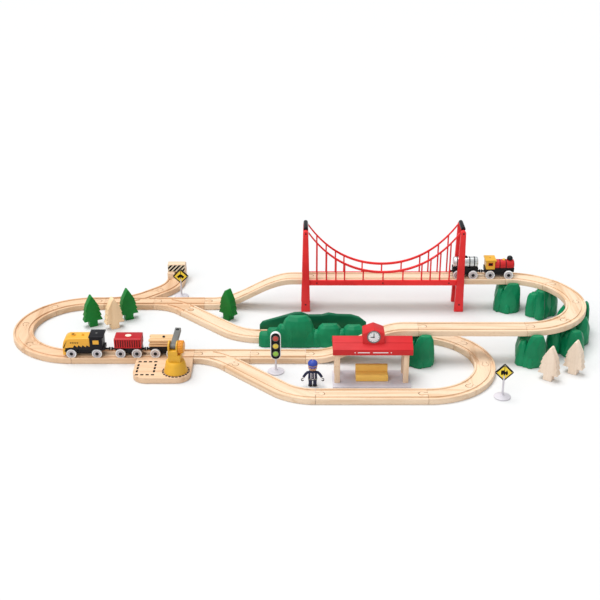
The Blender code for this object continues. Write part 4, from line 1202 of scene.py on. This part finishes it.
def build_road_sign(name, marks):
    x, y = build_stand(name, BASE_GREY, 15.5, span(name)[5] - 24)
    half = 17.5
    z = span(name)[5] - 17.6
    outline = rounded([(x, z - half), (x + half, z), (x, z + half), (x - half, z)], 1.6, 5)
    node = name
    piece(name + "_plate", side_prism(outline, y - 1.3, y + 1.3, 0.2), PRINT_BLACK, node)
    for tag, side in (("front", -1), ("rear", 1)):
        face = y + side * 1.3
        skin = sorted((face - side * 0.1, face + side * 0.06))
        shapes = [[(x - 0.8 * side * u, z + 0.8 * v) for u, v in mark] for mark in marks]
        proud = sorted((face, face + side * 0.1))
        layers = (("line", PRINT_CREAM, [rim(inset(outline, 2.2), *skin, 0.6)]),
                  ("field", SIGN_YELLOW, [side_prism(inset(outline, 2.7), *skin)]),
                  ("mark", PRINT_BLACK, [side_prism(shape, *proud) for shape in shapes]))
        for part, mat, shells in layers:
            piece(f"{name}_{part}_{tag}", merged(*shells), mat, node)


def tube(points, radii, sides=16):
    """Round limb through centre points, all rings facing along the limb."""
    rings = []
    for i, (point, radius) in enumerate(zip(points, radii)):
        ahead = Vector(points[min(i + 1, len(points) - 1)]) - Vector(points[max(i - 1, 0)])
        turn = ahead.to_track_quat("Z", "Y").to_matrix()
        rings.append([tuple(Vector(point) + turn @ Vector((radius * cos(tau * k / sides),
                                                            radius * sin(tau * k / sides), 0)))
                      for k in range(sides)])
    return loft(rings)


def oval_ring(x, y, z, wide, deep, power):
    """Level superellipse."""
    ring = []
    sides = 32
    for i in range(sides):
        c, s = cos(tau * i / sides), sin(tau * i / sides)
        ring.append((x + wide * copysign(abs(c) ** (2 / power), c),
                     y + deep * copysign(abs(s) ** (2 / power), s), z))
    return ring


def oval_body(x, y, rows, power=2.6):
    """Body through superellipses; a row is height, reach along X and, if given, along Y, and shift in Y."""
    rings = []
    for z, wide, *more in rows:
        deep = more[0] if more else wide
        shift = more[1] if len(more) > 1 else 0.0
        rings.append(oval_ring(x, y + shift, z, wide, deep, power))
    return loft(rings)


def build_figure():
    """Toy railway worker with a peaked cap."""
    x, y = middle_of("figure_body")
    node = "figure_body"
    for tag, side in (("west", -1), ("east", 1)):
        cx = x + side * 4.3
        leg = oval_body(cx, y, ((3.0, 3.3, 3.4), (8.0, 3.4, 3.6), (13.0, 3.8, 4.2), (15.0, 3.9, 4.4)))
        piece("figure_leg_" + tag, leg, NAVY, node)
        boot = oval_body(cx, y, ((0.0, 3.3, 3.6, -0.4), (0.5, 3.8, 4.1, -0.4), (2.2, 3.8, 4.1, -0.4),
                                 (3.6, 3.4, 3.6), (3.9, 3.0, 3.2)))
        piece("figure_boot_" + tag, boot, BLACK, node)
        limb = ((5.5, 0, 29.5), (9.5, 0.2, 28.4), (13.2, 0.5, 24.6), (16.2, 0.9, 20.2), (17.7, 1.2, 17.4))
        arm = tube([(x + side * a, y - f, z) for a, f, z in limb], (2.0, 2.55, 2.6, 2.5, 2.2))
        piece("figure_arm_" + tag, arm, NAVY, node)
        wrist = ((16.9, 19.0), (17.3, 18.2), (17.8, 17.2))
        cuff = tube([(x + side * a, y - 1.2, z) for a, z in wrist], (2.55, 2.6, 2.5))
        piece("figure_cuff_" + tag, cuff, WHITE, node)
        grip = [(x + side * 18.2, y - 1.2, 16.8)]
        radius = 2.3
        for k in range(9):
            a = radians(100 - 32 * k)
            grip.append((x + side * (18.9 + radius * cos(a) * 0.9), y - 1.2, 13.2 + radius * sin(a)))
        piece("figure_hand_" + tag, tube(grip, (1.5,) + (0.95,) * 9, 10), BLACK, node)
    jacket = oval_body(x, y, ((13.0, 8.0, 5.0), (14.0, 8.5, 5.15), (20.0, 8.4, 5.15), (26.0, 8.0, 5.1),
                              (30.5, 7.0, 4.7), (32.2, 5.4, 3.9), (32.8, 3.0, 2.4)), 3.0)
    piece("figure_jacket", jacket, NAVY, node)
    belt = oval_body(x, y, ((14.6, 8.45, 5.2), (14.9, 8.62, 5.2), (16.9, 8.62, 5.2), (17.2, 8.45, 5.2)), 3.0)
    piece("figure_belt", belt, GREY, node)
    stripes = [block(cx - 0.9, cx + 0.9, y - 5.2, y - 4.6, 17.4, 29.0, 0.25) for cx in (x - 3.2, x + 3.2)]
    buttons = [soft_disc(0.75, -5.4, -4.8, 0.2, 14, (x, y, z), "Y") for z in (20.0, 23.5, 27.0)]
    buckle = block(x - 1.7, x + 1.7, y - 5.45, y - 4.9, 14.9, 17.0, 0.3)
    piece("figure_trim", merged(*stripes, *buttons, buckle), BASE_GREY, node)

    head = "figure_head"
    face = oval_body(x, y, ((33.2, 3.0), (33.5, 5.0), (34.6, 6.8), (36.6, 7.9), (39.0, 8.2), (41.5, 8.2),
                            (43.5, 8.0)), 2.2)
    piece("figure_face", face, SKIN, head)
    crown = oval_body(x, y, ((42.2, 8.3), (42.4, 8.7), (44.6, 8.7), (44.9, 8.4), (45.4, 9.0), (47.6, 9.1),
                             (50.0, 8.3), (52.2, 6.2), (53.5, 3.4), (54.1, 0.8)), 2.2)
    piece("figure_cap", crown, CAP_BLUE, head)
    peak = [(x - 7.4, y - 4.4), (x - 6.2, y - 10.2), (x, y - 12.4), (x + 6.2, y - 10.2), (x + 7.4, y - 4.4)]
    piece("figure_cap_peak", prism(rounded(peak, [0, 3, 6, 3, 0], 6), 42.2, 43.4, 0.4), CAP_BLUE, head)
    button = soft_disc(1.1, 53.4, 54.35, 0.3, 16, (x, y, 0))
    band = oval_body(x, y, ((43.2, 8.7), (43.4, 8.85), (44.3, 8.85), (44.5, 8.7)), 2.2)
    piece("figure_cap_band", merged(band, button), YELLOW, head)
    eyes = [soft_disc(0.75, -8.35, -7.3, 0.25, 14, (x + side * 2.9, y, 39.4), "Y") for side in (-1, 1)]
    mouth = tube([(x + a, y - 8.05 + 0.02 * a * a, 36.2 + 0.10 * a * a) for a in (-2.4, -1.2, 0, 1.2, 2.4)],
                 (0.22,) * 5, 8)
    piece("figure_features", merged(*eyes, mouth), PRINT_BLACK, head)
    nose = tube([(x, y - 7.4, 38.0), (x, y - 8.4, 37.9), (x, y - 9.0, 37.8)], (1.2, 1.15, 0.4), 12)
    piece("figure_nose", nose, SKIN, head)


# Tiers of a tree from the lowest up: height of the tips and how far they reach from the middle.
TREE_TIERS = ((13.0, 20.0), (23.5, 18.3), (34.0, 16.3), (44.5, 13.9))
TREE_WAIST = 0.76              # reach between two tiers, as part of the reach below
TREES = (
    ("tree_green_west", 0.45, GREEN_PAINT),
    ("tree_natural_west", 0.5, WARM_WOOD),
    ("tree_green_middle", 0.45, GREEN_PAINT),
    ("tree_green_east", -0.7, GREEN_PAINT),
    ("tree_natural_south", -0.6, PALE_WOOD),
    ("tree_natural_east", -0.6, PALE_WOOD),
)


def build_trees():
    """Flat firs sawn from thick board."""
    for name, turn, mat in TREES:
        x, y = middle_of(name)
        right = [(8.4, 0.1), (8.4, TREE_TIERS[0][0] + 0.2)]
        radii = [0.8, 1.0]
        burns = []
        under = 8.4
        for (foot, wide), above in zip(TREE_TIERS, TREE_TIERS[1:] + (None,)):
            right.append((wide - 0.1, foot + 0.1))
            radii.append(0.9)
            burns.append((under - 0.5, wide - 1.4, foot))
            under = wide * TREE_WAIST
            if above:
                right.append((under, above[0] + 0.1))
                radii.append(0.5)
        outline = right + [(0.0, 69.9)] + [(-u, z) for u, z in reversed(right)]
        shape = side_prism(rounded(outline, radii + [2.4] + radii[::-1], 4), -7.95, 7.95, 0.25)
        place = {"origin": (x, y, 0), "heading": turn, "grain": "Z"}
        piece(name, move(shape, x, y, turn=turn), mat, name, smooth=30, **place)
        if mat is WARM_WOOD:
            strips = [box(*sorted((side * low, side * high)), -7.4, 7.4, foot - 0.4, foot + 0.25)
                      for low, high, foot in burns for side in (-1, 1)]
            piece(name + "_burn", move(merged(*strips), x, y, turn=turn), BURN, name, **place)


# ---------------------------------------------------------------- crane

CRANE_TURN = radians(-5)
PIVOT_Z = 64.2                 # height of the boom's pin
BOOM_X = -2.3                  # middle of the boom, off the crane's own axis
BOOM_LEAN = radians(11)   # lift of the boom at rest


def place_crane(bm):
    """From axes through the middle of the crane's foot to its place on the board."""
    return move(bm, *middle_of("crane_tower"), turn=CRANE_TURN)


def build_crane():
    low = span("crane_tower")[4]
    cheek_r = 11.4
    tower = "crane_tower"
    cone = turned([(21.6, low), (22.3, low + 0.5), (22.5, low + 1.2), (22.0, low + 3.0), (20.7, low + 8),
                   (19.2, low + 15), (18.3, low + 19.5), (17.6, low + 21.8), (16.4, low + 23.2),
                   (14.8, low + 23.9)], 72)
    piece("crane_pedestal", place_crane(cone), YELLOW, tower, smooth=25)
    seat = block(-11.7, 11.7, -cheek_r, cheek_r, low + 22, 50.4, 1.8)
    waist = block(BOOM_X - 9.1, BOOM_X + 9.1, -cheek_r, cheek_r, 49.5, 59.0, 0.8)
    piece("crane_saddle", place_crane(merged(seat, waist)), YELLOW, tower)
    for tag, side in (("west", -1), ("east", 1)):
        outline = [(-cheek_r, 57.5), (cheek_r, 57.5)] + arc_points(0, PIVOT_Z, cheek_r, 0, pi, 28)
        x0, x1 = sorted((BOOM_X + side * 6.15, BOOM_X + side * 9.1))
        cheek = end_prism(outline, x0, x1, 0.6)
        bore = turned([(2.75, -20), (2.75, 20)], 32, (0, 0, PIVOT_Z), "X")
        piece("crane_cheek_" + tag, place_crane(cut(cheek, bore)), YELLOW, tower, smooth=30)

    boom = "crane_boom"
    half, length = 4.5, 53.0
    arm = arc_points(0, 0, half, QUARTER, 3 * QUARTER, 14) + [(length, -half), (length, half)]
    arm = rounded(arm, [0] * 15 + [2.8, 1.2], 5)
    shape = end_prism(arm, BOOM_X - 5.5, BOOM_X + 5.5, 0.8)
    piece("crane_arm", place_boom(shape), GREY, boom, smooth=30)
    hook = turned([(3.4, 0), (3.6, 0.4), (3.6, 1.2), (2.6, 1.8), (0, 1.9)], 32)
    magnet = move(hook, BOOM_X, length - 6.5, half - 1.4)
    piece("crane_arm_cap", place_boom(magnet), BLACK, boom)
    panel = block(BOOM_X - 3.6, BOOM_X + 3.6, 9.0, length - 13.0, half - 0.6, half + 0.05, 0.3)
    piece("crane_arm_inlay", place_boom(panel), GREY, boom)
    pin = turned([(1.9, -12.4), (2.35, -12.0), (2.35, 8.0)], 32, axis="X")
    piece("crane_pin", place_boom(pin), BLACK, boom)
    core = turned([(10.6, 7.4), (11.4, 8.2), (11.4, 16.6), (10.2, 18.0), (0, 18.2)], 64, axis="X")
    ribs = []
    for i in range(24):
        a = tau * i / 24
        rib = block(7.9, 16.9, -0.85, 0.85, 10.4, 12.3, 0.6)
        ribs.append(move(rib, turn=a, axis="X"))
    piece("crane_knob", place_boom(core), ORANGE, boom)
    piece("crane_knob_ribs", place_boom(merged(*ribs)), ORANGE, boom)
    face = turned([(3.6, 17.6), (3.6, 18.3), (3.0, 18.38)], 36, axis="X")
    piece("crane_knob_boss", place_boom(face), YELLOW, boom)


def place_boom(bm):
    """From the boom's own axes, with the pin along X and the boom along Y, to its rest pose."""
    return place_crane(move(move(bm, turn=BOOM_LEAN, axis="X"), z=PIVOT_Z))


# ---------------------------------------------------------------- trains

AXLE_Z = 19.0                  # axle above the floor on a low track
HOOD_HALF = 15.5               # half the width of the diesel's hood


def wheels_of(name):
    """Axle places along X, the train's Y and how far its track is above the low one."""
    west = span(name + "_wheels_west")
    east = span(name + "_wheels_east")
    axle = (west[4] + west[5]) / 2
    return (west[0] + west[1]) / 2, (east[0] + east[1]) / 2, (west[2] + west[3]) / 2, axle - AXLE_Z


def build_wheelset(body, x, y, z):
    discs, rings, hubs = [], [], []
    for side in (-1, 1):
        disc = [(8.9, 11.1), (8.9, 13.6), (5.2, 14.2), (3.4, 14.9)]
        ring = [(9.1, 11.2), (9.65, 11.6), (9.65, 14.9), (9.2, 15.4), (8.4, 15.4), (7.7, 14.9), (7.5, 13.0)]
        hub = [(3.5, 13.0), (3.5, 15.0), (2.9, 15.45)]
        for shells, profile, segments in ((discs, disc, 64), (rings, ring, 64), (hubs, hub, 32)):
            shells.append(turned([(r, side * h) for r, h in profile], segments, (x, y, z), "Y"))
    axle = turned([(1.5, -12), (1.5, 12)], 24, (x, y, z), "Y")
    piece(body + "_discs", merged(*discs), WHEEL, body, smooth=30)
    piece(body + "_rings", merged(*rings), WHITE, body, smooth=30)
    piece(body + "_hubs", merged(*hubs), BLACK, body, smooth=30)
    piece(body + "_axle", axle, SILVER, body)


def build_running_gear(name, x0, x1, couplers, frame_top=32.0):
    """Black frame with axle boxes, couplers and wheels; returns what adds the body's pieces."""
    west, east, y, lift = wheels_of(name)
    axle = AXLE_Z + lift
    shells = [block(x0 + 0.2, x1 - 0.2, y - 9.7, y + 9.7, axle + 5.2, frame_top + lift, 0.7)]
    for x in (west, east):
        shells.append(block(x - 4.4, x + 4.4, y - 9.7, y + 9.7, axle - 3.4, axle + 6, 0.9))
    shells.append(block(west + 6.0, east - 6.0, y - 8.4, y + 8.4, axle - 1.6, axle + 6, 0.8))
    for x, length in couplers:
        way = copysign(1, length)
        bar = [(2.0, -1.5), (2.0, abs(length) - 3.4), (3.0, abs(length) - 2.8), (3.5, abs(length) - 1.6),
               (3.5, abs(length) - 0.8), (3.0, abs(length) - 0.1), (0, abs(length) - 0.1)]
        shells.append(turned([(r, way * h) for r, h in bar], 32, (x, y, axle + 4), "X"))
    piece(name + "_frame", merged(*shells), BLACK, name)
    for tag, x in (("west", west), ("east", east)):
        build_wheelset(f"{name}_wheels_{tag}", x, y, axle)

    def add(part, bm, mat, origin=None, **more):
        """Add a piece of the body, which is made round Y = 0 as if on a low track."""
        if origin:
            more["origin"] = (origin[0], origin[1] + y, origin[2] + lift)
        piece(part, move(bm, 0, y, lift), mat, name, **more)

    return add


def hood_section(half, z0, z1, corner):
    return rounded(rectangle(-half, half, z0, z1), [0.8, 0.8, corner, corner], 6)


def build_diesel():
    west, east, _, _ = wheels_of("diesel")
    x0, x1 = west - 13.6, east + 15.9
    add = build_running_gear("diesel", x0, x1, ((x1, 8.5),))
    nose = x0 - 2.4
    side = [(nose, 30.5), (x1 - 27.6, 30.5), (x1 - 27.6, 52.4), (nose + 3.0, 52.4)]
    hood = side_prism(rounded(side, [1, 0, 0, 12.5], 10), -HOOD_HALF, HOOD_HALF, 3.0)
    apron = block(nose + 0.1, x0 + 3.0, -HOOD_HALF + 0.4, HOOD_HALF - 0.4, 16.6, 36, 1.2)
    add("diesel_hood", merged(hood, apron), AMBER, origin=(x0, 0, 32))
    skirt = block(west + 4.0, x1 - 4.2, -HOOD_HALF - 0.05, HOOD_HALF + 0.05, 28.9, 34.6, 0.5)
    add("diesel_skirt", skirt, BLACK)
    teeth = []
    count = 4
    pitch = (x1 - 28.4 - west - 5.0) / count
    for k in range(count):
        left = west + 5.0 + pitch * k
        tooth = [(left, 33.9), (left + pitch, 33.9), (left + pitch * 0.3, 38.2)]
        teeth.append(both_sides(side_prism, tooth, HOOD_HALF - 0.3, HOOD_HALF + 0.12))
    add("diesel_teeth", merged(*teeth), BLACK_PAINT)
    louvres = []
    low, high = 42.0, 44.6
    for k in range(5):
        left = x0 + 13.0 + 3.4 * k
        slat = [(left, low), (left + 2.0, low), (left + 2.6, high), (left + 0.6, high)]
        louvres.append(both_sides(side_prism, slat, HOOD_HALF - 0.3, HOOD_HALF + 0.10))
    add("diesel_louvres", merged(*louvres), BLACK_PAINT)
    rear, ahead = radians(20), radians(154)
    arch = arc_points(west, AXLE_Z, 14.2, rear, ahead, 18)
    arch += arc_points(west, AXLE_Z, 10.4, ahead, rear, 18)
    add("diesel_wheel_arches", both_sides(side_prism, arch, HOOD_HALF - 3, HOOD_HALF + 0.1), BLACK)
    cab = end_prism(hood_section(HOOD_HALF + 0.6, 29, 54.4, 1.6), x1 - 28.3, x1 - 4.1, 0.9)
    add("diesel_cab", cab, BLACK_PAINT)
    roof = rounded(rectangle(-17, 17, 53.6, 56.9), [0.8, 0.8, 1.6, 1.6], 5)
    add("diesel_roof", end_prism(roof, x1 - 29.8, x1 - 1.0, 1.2), BLACK_PAINT)
    xc, zc, edge = x1 - 16.4, 44.6, HOOD_HALF + 0.6
    shape = rounded(rectangle(xc - 6.9, xc + 6.9, zc - 5.4, zc + 5.4), 1.8, 5)
    add("diesel_windows", both_sides(side_prism, inset(shape, 0.9), edge - 1, edge + 0.12), AMBER)
    add("diesel_window_frames", both_sides(rim, shape, edge - 1, edge + 0.4, 1.0), BLACK)
    stacks, holes = [], []
    for x, radius in ((x0 + 17.4, 4.5), (x0 + 36.0, 2.6)):
        stacks.append(turned([(radius, 51.5), (radius, 54.4), (radius - 0.5, 54.9), (radius - 1.1, 54.9),
                              (radius - 1.3, 53.6), (0, 53.6)], 40, (x, 0, 0)))
        holes.append(soft_disc(radius - 1.2, 53.0, 54.0, 0.2, 32, (x, 0, 0)))
    add("diesel_stacks", merged(*stacks), AMBER)
    dot = soft_disc(2.0, 56.4, 56.98, 0.2, 28, (xc, 0, 0))
    lamps = [turned([(2.2, 0.6), (2.2, -0.1)], 28, (nose, s * 8.6, 37.0), "X") for s in (-1, 1)]
    add("diesel_stack_holes", merged(*holes), PRINT_BLACK)
    add("diesel_roof_dot", dot, GREY)
    add("diesel_headlamps", merged(*lamps), WHITE)


def build_container_wagon():
    west, east, _, _ = wheels_of("container_wagon")
    x0, x1 = west - 11.2, east + 9.8
    add = build_running_gear("container_wagon", x0, x1, ((x0, -8.5), (x1, 6.5)), 32.5)
    half = 13.7
    body = stepped_block(x0 + 0.9, x1 - 0.9, -half, half, ((32.0, 0.3), (32.4, 0), (48.8, 0), (49.2, 0.3)))
    # The body between the ribs is dark red as painted shade in the slots.
    add("container_box", body, SLOT_SHADE_RED, origin=(x0, 0, 32), smooth=30)
    lid = stepped_block(x0 + 0.1, x1 - 0.1, -15.5, 15.5,
                        ((48.6, 0.0), (50.2, 0.0), (50.6, 0.15), (51.5, 1.4), (51.8, 2.0)))
    add("container_lid", lid, WAGON_RED, origin=(x0, 0, 48), smooth=30)
    ribs = []
    count = 12
    for k in range(count):
        x = x0 + 1.4 + (x1 - x0 - 2.8) * k / (count - 1)
        for side in (-1, 1):
            ya, yb = sorted((side * (half - 0.4), side * 15.5))
            ribs.append(block(x - 1.2, x + 1.2, ya, yb, 32.6, 48.8, 0.35))
    for k in range(8):
        across = -13.4 + 26.8 * k / 7
        for xa, xb in ((x0 + 0.1, x0 + 1.4), (x1 - 1.4, x1 - 0.1)):
            ribs.append(block(xa, xb, across - 1.1, across + 1.1, 32.6, 48.8, 0.35))
    add("container_ribs", merged(*ribs), RED, origin=(x0, 0, 32))
    sill = block(x0 + 0.1, x1 - 0.1, -15.5, 15.5, 31.6, 33.4, 0.5)
    add("container_sill", sill, WAGON_RED, origin=(x0, 0, 32))
    middle = (x0 + x1) / 2
    oval = [(middle + 6.0 * u, 5.2 * v) for u, v in circle(0, 0, 1, 48)]
    add("container_spot", prism(oval, 51.2, 51.9), PRINT_CREAM)


def build_log_wagon():
    west, east, _, _ = wheels_of("log_wagon")
    x0, x1 = west - 11.8, east + 13.2
    add = build_running_gear("log_wagon", x0, x1, ((x0, -6.5), (x1, 6.5)))
    add("log_deck", block(x0 + 0.3, x1 - 0.3, -11.9, 11.9, 30.5, 32.9, 0.7), BLACK)
    ends = [block(x, x + 1.8, -10, 10, 32, 37.5, 0.6) for x in (x0 + 0.1, x1 - 1.9)]
    add("log_ends", merged(*ends), BLACK)
    layers, boards = 3, 3
    thick, wide = 15.6 / layers, 27.0 / boards
    for k in range(layers):
        for j in range(boards):
            z, y = 32.9 + thick * k, -13.5 + wide * j
            trim = 1.8 * ((j + k) % 2)
            plank = block(x0 - 0.4 + trim, x1 - 1.6 - trim, y + 0.2, y + wide - 0.2,
                          z + 0.5, z + thick - 0.5, 1.9)
            add(f"log_plank_{k + 1}_{j + 1}", plank, PLANK, origin=(x0 + 7 * k, y, z))
    top = soft_disc(2.6, 48.0, 50.4, 0.7, 28, ((x0 + x1) / 2, 0, 0))
    add("log_peg", top, BLACK)


def build_tank_wagon():
    west, east, _, _ = wheels_of("tank_wagon")
    x0, x1 = west - 10.8, east + 11.2
    add = build_running_gear("tank_wagon", x0, x1, ((x0, -6.0), (x1, 6.0)))
    z = 43.9
    barrel = soft_disc(11.2, x0 + 1.1, x1 - 1.1, 3.0, 72, (0, 0, z), "X")
    add("tank_barrel", barrel, SILVER, origin=(x0, 0, z), smooth=30)
    middle = (x0 + x1) / 2
    band_places = (x0 + 9, middle - 8, middle + 8, x1 - 9)
    bands = [soft_disc(11.55, x - 1.1, x + 1.1, 0.35, 72, (0, 0, z), "X") for x in band_places]
    add("tank_bands", merged(*bands), BLACK_PAINT, smooth=30)
    profile = [(4.4, 53), (4.4, 55.4), (3.9, 55.9), (3.2, 56.0), (3.2, 56.9), (2.7, 57.4)]
    add("tank_dome", turned(profile, 40, (middle, 0, 0)), BLACK, smooth=30)
    cradle = [block(x - 3.2, x + 3.2, -9.9, 9.9, 31.5, 38.5, 0.8) for x in (x0 + 9, x1 - 9)]
    deck = block(x0 + 0.2, x1 - 0.2, -9.9, 9.9, 30.2, 33.8, 0.7)
    add("tank_cradle", merged(deck, *cradle), BLACK)


def build_steam_loco():
    west, east, _, _ = wheels_of("steam_loco")
    x0, x1 = west - 12.0, east + 12.0
    add = build_running_gear("steam_loco", x0, x1, ((x0, -6.0),))
    z = 38.5
    boiler = soft_disc(10.9, x0 + 20.5, x1 - 1.1, 1.2, 72, (0, 0, z), "X")
    add("steam_boiler", boiler, RED, origin=(x0, 0, z), smooth=30)
    bands = [soft_disc(10.98, x - 0.9, x + 0.9, 0.1, 72, (0, 0, z), "X") for x in (x0 + 32, x0 + 45)]
    box_front = soft_disc(8.6, x1 - 1.6, x1 - 0.2, 0.5, 56, (0, 0, z), "X")
    add("steam_bands", merged(*bands, box_front), BLACK_PAINT, smooth=30)
    boss = soft_disc(2.2, x1 - 0.9, x1 - 0.02, 0.4, 32, (0, 0, z), "X")
    add("steam_front_boss", boss, YELLOW)
    add("steam_footplate", block(x0 + 0.2, x1 - 0.2, -10.9, 10.9, 30.2, 33.6, 0.8), BLACK)
    cab = end_prism(hood_section(13.6, 32, 50.2, 0.9), x0 + 2.2, x0 + 21.0, 0.8)
    add("steam_cab", cab, YELLOW)
    roof = rounded(rectangle(-14.9, 14.9, 49.6, 53.4), 1.3, 5)
    add("steam_roof", end_prism(roof, x0 + 0.1, x0 + 23.4, 1.2), YELLOW)
    xc, zc, edge = x0 + 11.6, 43.6, 13.6
    shape = rounded(rectangle(xc - 5, xc + 5, zc - 3.6, zc + 3.6), 1.4, 5)
    panes = both_sides(side_prism, inset(shape, 0.7), edge - 1, edge + 0.1)
    add("steam_windows", panes, PRINT_BLACK)
    add("steam_window_frames", both_sides(rim, shape, edge - 1, edge + 0.4, 0.9), RED)
    dot = soft_disc(1.6, 53.0, 53.48, 0.2, 28, (xc, 0, 0))
    add("steam_roof_dot", dot, DARK_RED)
    stack = turned([(2.5, 46), (2.7, 47.5), (4.4, 48.4), (5.6, 49.6), (6.2, 51.4), (6.2, 53.0), (5.6, 54.8),
                    (4.4, 56.4), (2.4, 57.5), (0, 57.9)], 48, (x1 - 9.5, 0, 0))
    dome = turned([(3.4, 46), (3.6, 49.0), (3.0, 50.6), (1.6, 51.4), (0, 51.6)], 40, (x1 - 22.0, 0, 0))
    add("steam_chimney", stack, BLACK, smooth=50)
    add("steam_dome", dome, YELLOW, smooth=50)


# ---------------------------------------------------------------- floor, light, camera

def build_stage():
    mesh = bpy.data.meshes.new("floor")
    side = 12.0
    corners = [(x, y, 0) for x, y in rectangle(-side, side, -side, side)]
    mesh.from_pydata(corners, [], [(0, 1, 2, 3)])
    floor = bpy.data.objects.new("floor", mesh)
    bpy.context.scene.collection.objects.link(floor)
    floor.location.z = -0.0002
    mesh.materials.append(new_material("floor", (0.72, 0.72, 0.72), 0.8, specular=0.1))

    world = bpy.data.worlds.new("studio")
    bpy.context.scene.world = world
    world.use_nodes = True
    background = world.node_tree.nodes["Background"]
    background.inputs["Color"].default_value = (0.95, 0.985, 1.0, 1.0)
    background.inputs["Strength"].default_value = 0.50

    suns = (("overhead", (-0.35, 0.30, 2.0), 2.2, 34), ("key", (-1.1, -1.5, 1.9), 1.1, 50))
    for name, place, power, spread in suns:
        data = bpy.data.lights.new(name, "SUN")
        data.energy = power
        data.angle = radians(spread)
        light = bpy.data.objects.new(name, data)
        bpy.context.scene.collection.objects.link(light)
        light.location = place
        light.rotation_euler = (-Vector(place)).to_track_quat("-Z", "Y").to_euler()


def build_camera():
    data = bpy.data.cameras.new("camera")
    data.sensor_width = 36.0
    data.lens = 64.79
    data.clip_end = 30.0
    camera = bpy.data.objects.new("camera", data)
    bpy.context.scene.collection.objects.link(camera)
    camera.location = (-0.0032, -1.977, 0.99335)
    camera.rotation_euler = (QUARTER - radians(24.93), 0, 0)
    bpy.context.scene.camera = camera
    bpy.context.scene.view_settings.view_transform = "Standard"


build_tracks()
build_board()
build_buffer()
for tower in TOWERS:
    build_tower(tower)
for truss in ("bridge_truss_front", "bridge_truss_rear"):
    build_truss(truss)
for pillar in PILLARS:
    build_pillar(pillar)
build_front_wall()
build_rear_wall()
build_station()
build_station_roof()
build_clock()
build_bench()
build_traffic_light()
build_road_sign("road_sign_west", car_mark())
build_road_sign("road_sign_east", engine_mark())
build_figure()
build_trees()
build_crane()
build_diesel()
build_container_wagon()
build_log_wagon()
build_tank_wagon()
build_steam_loco()
build_stage()
build_camera()
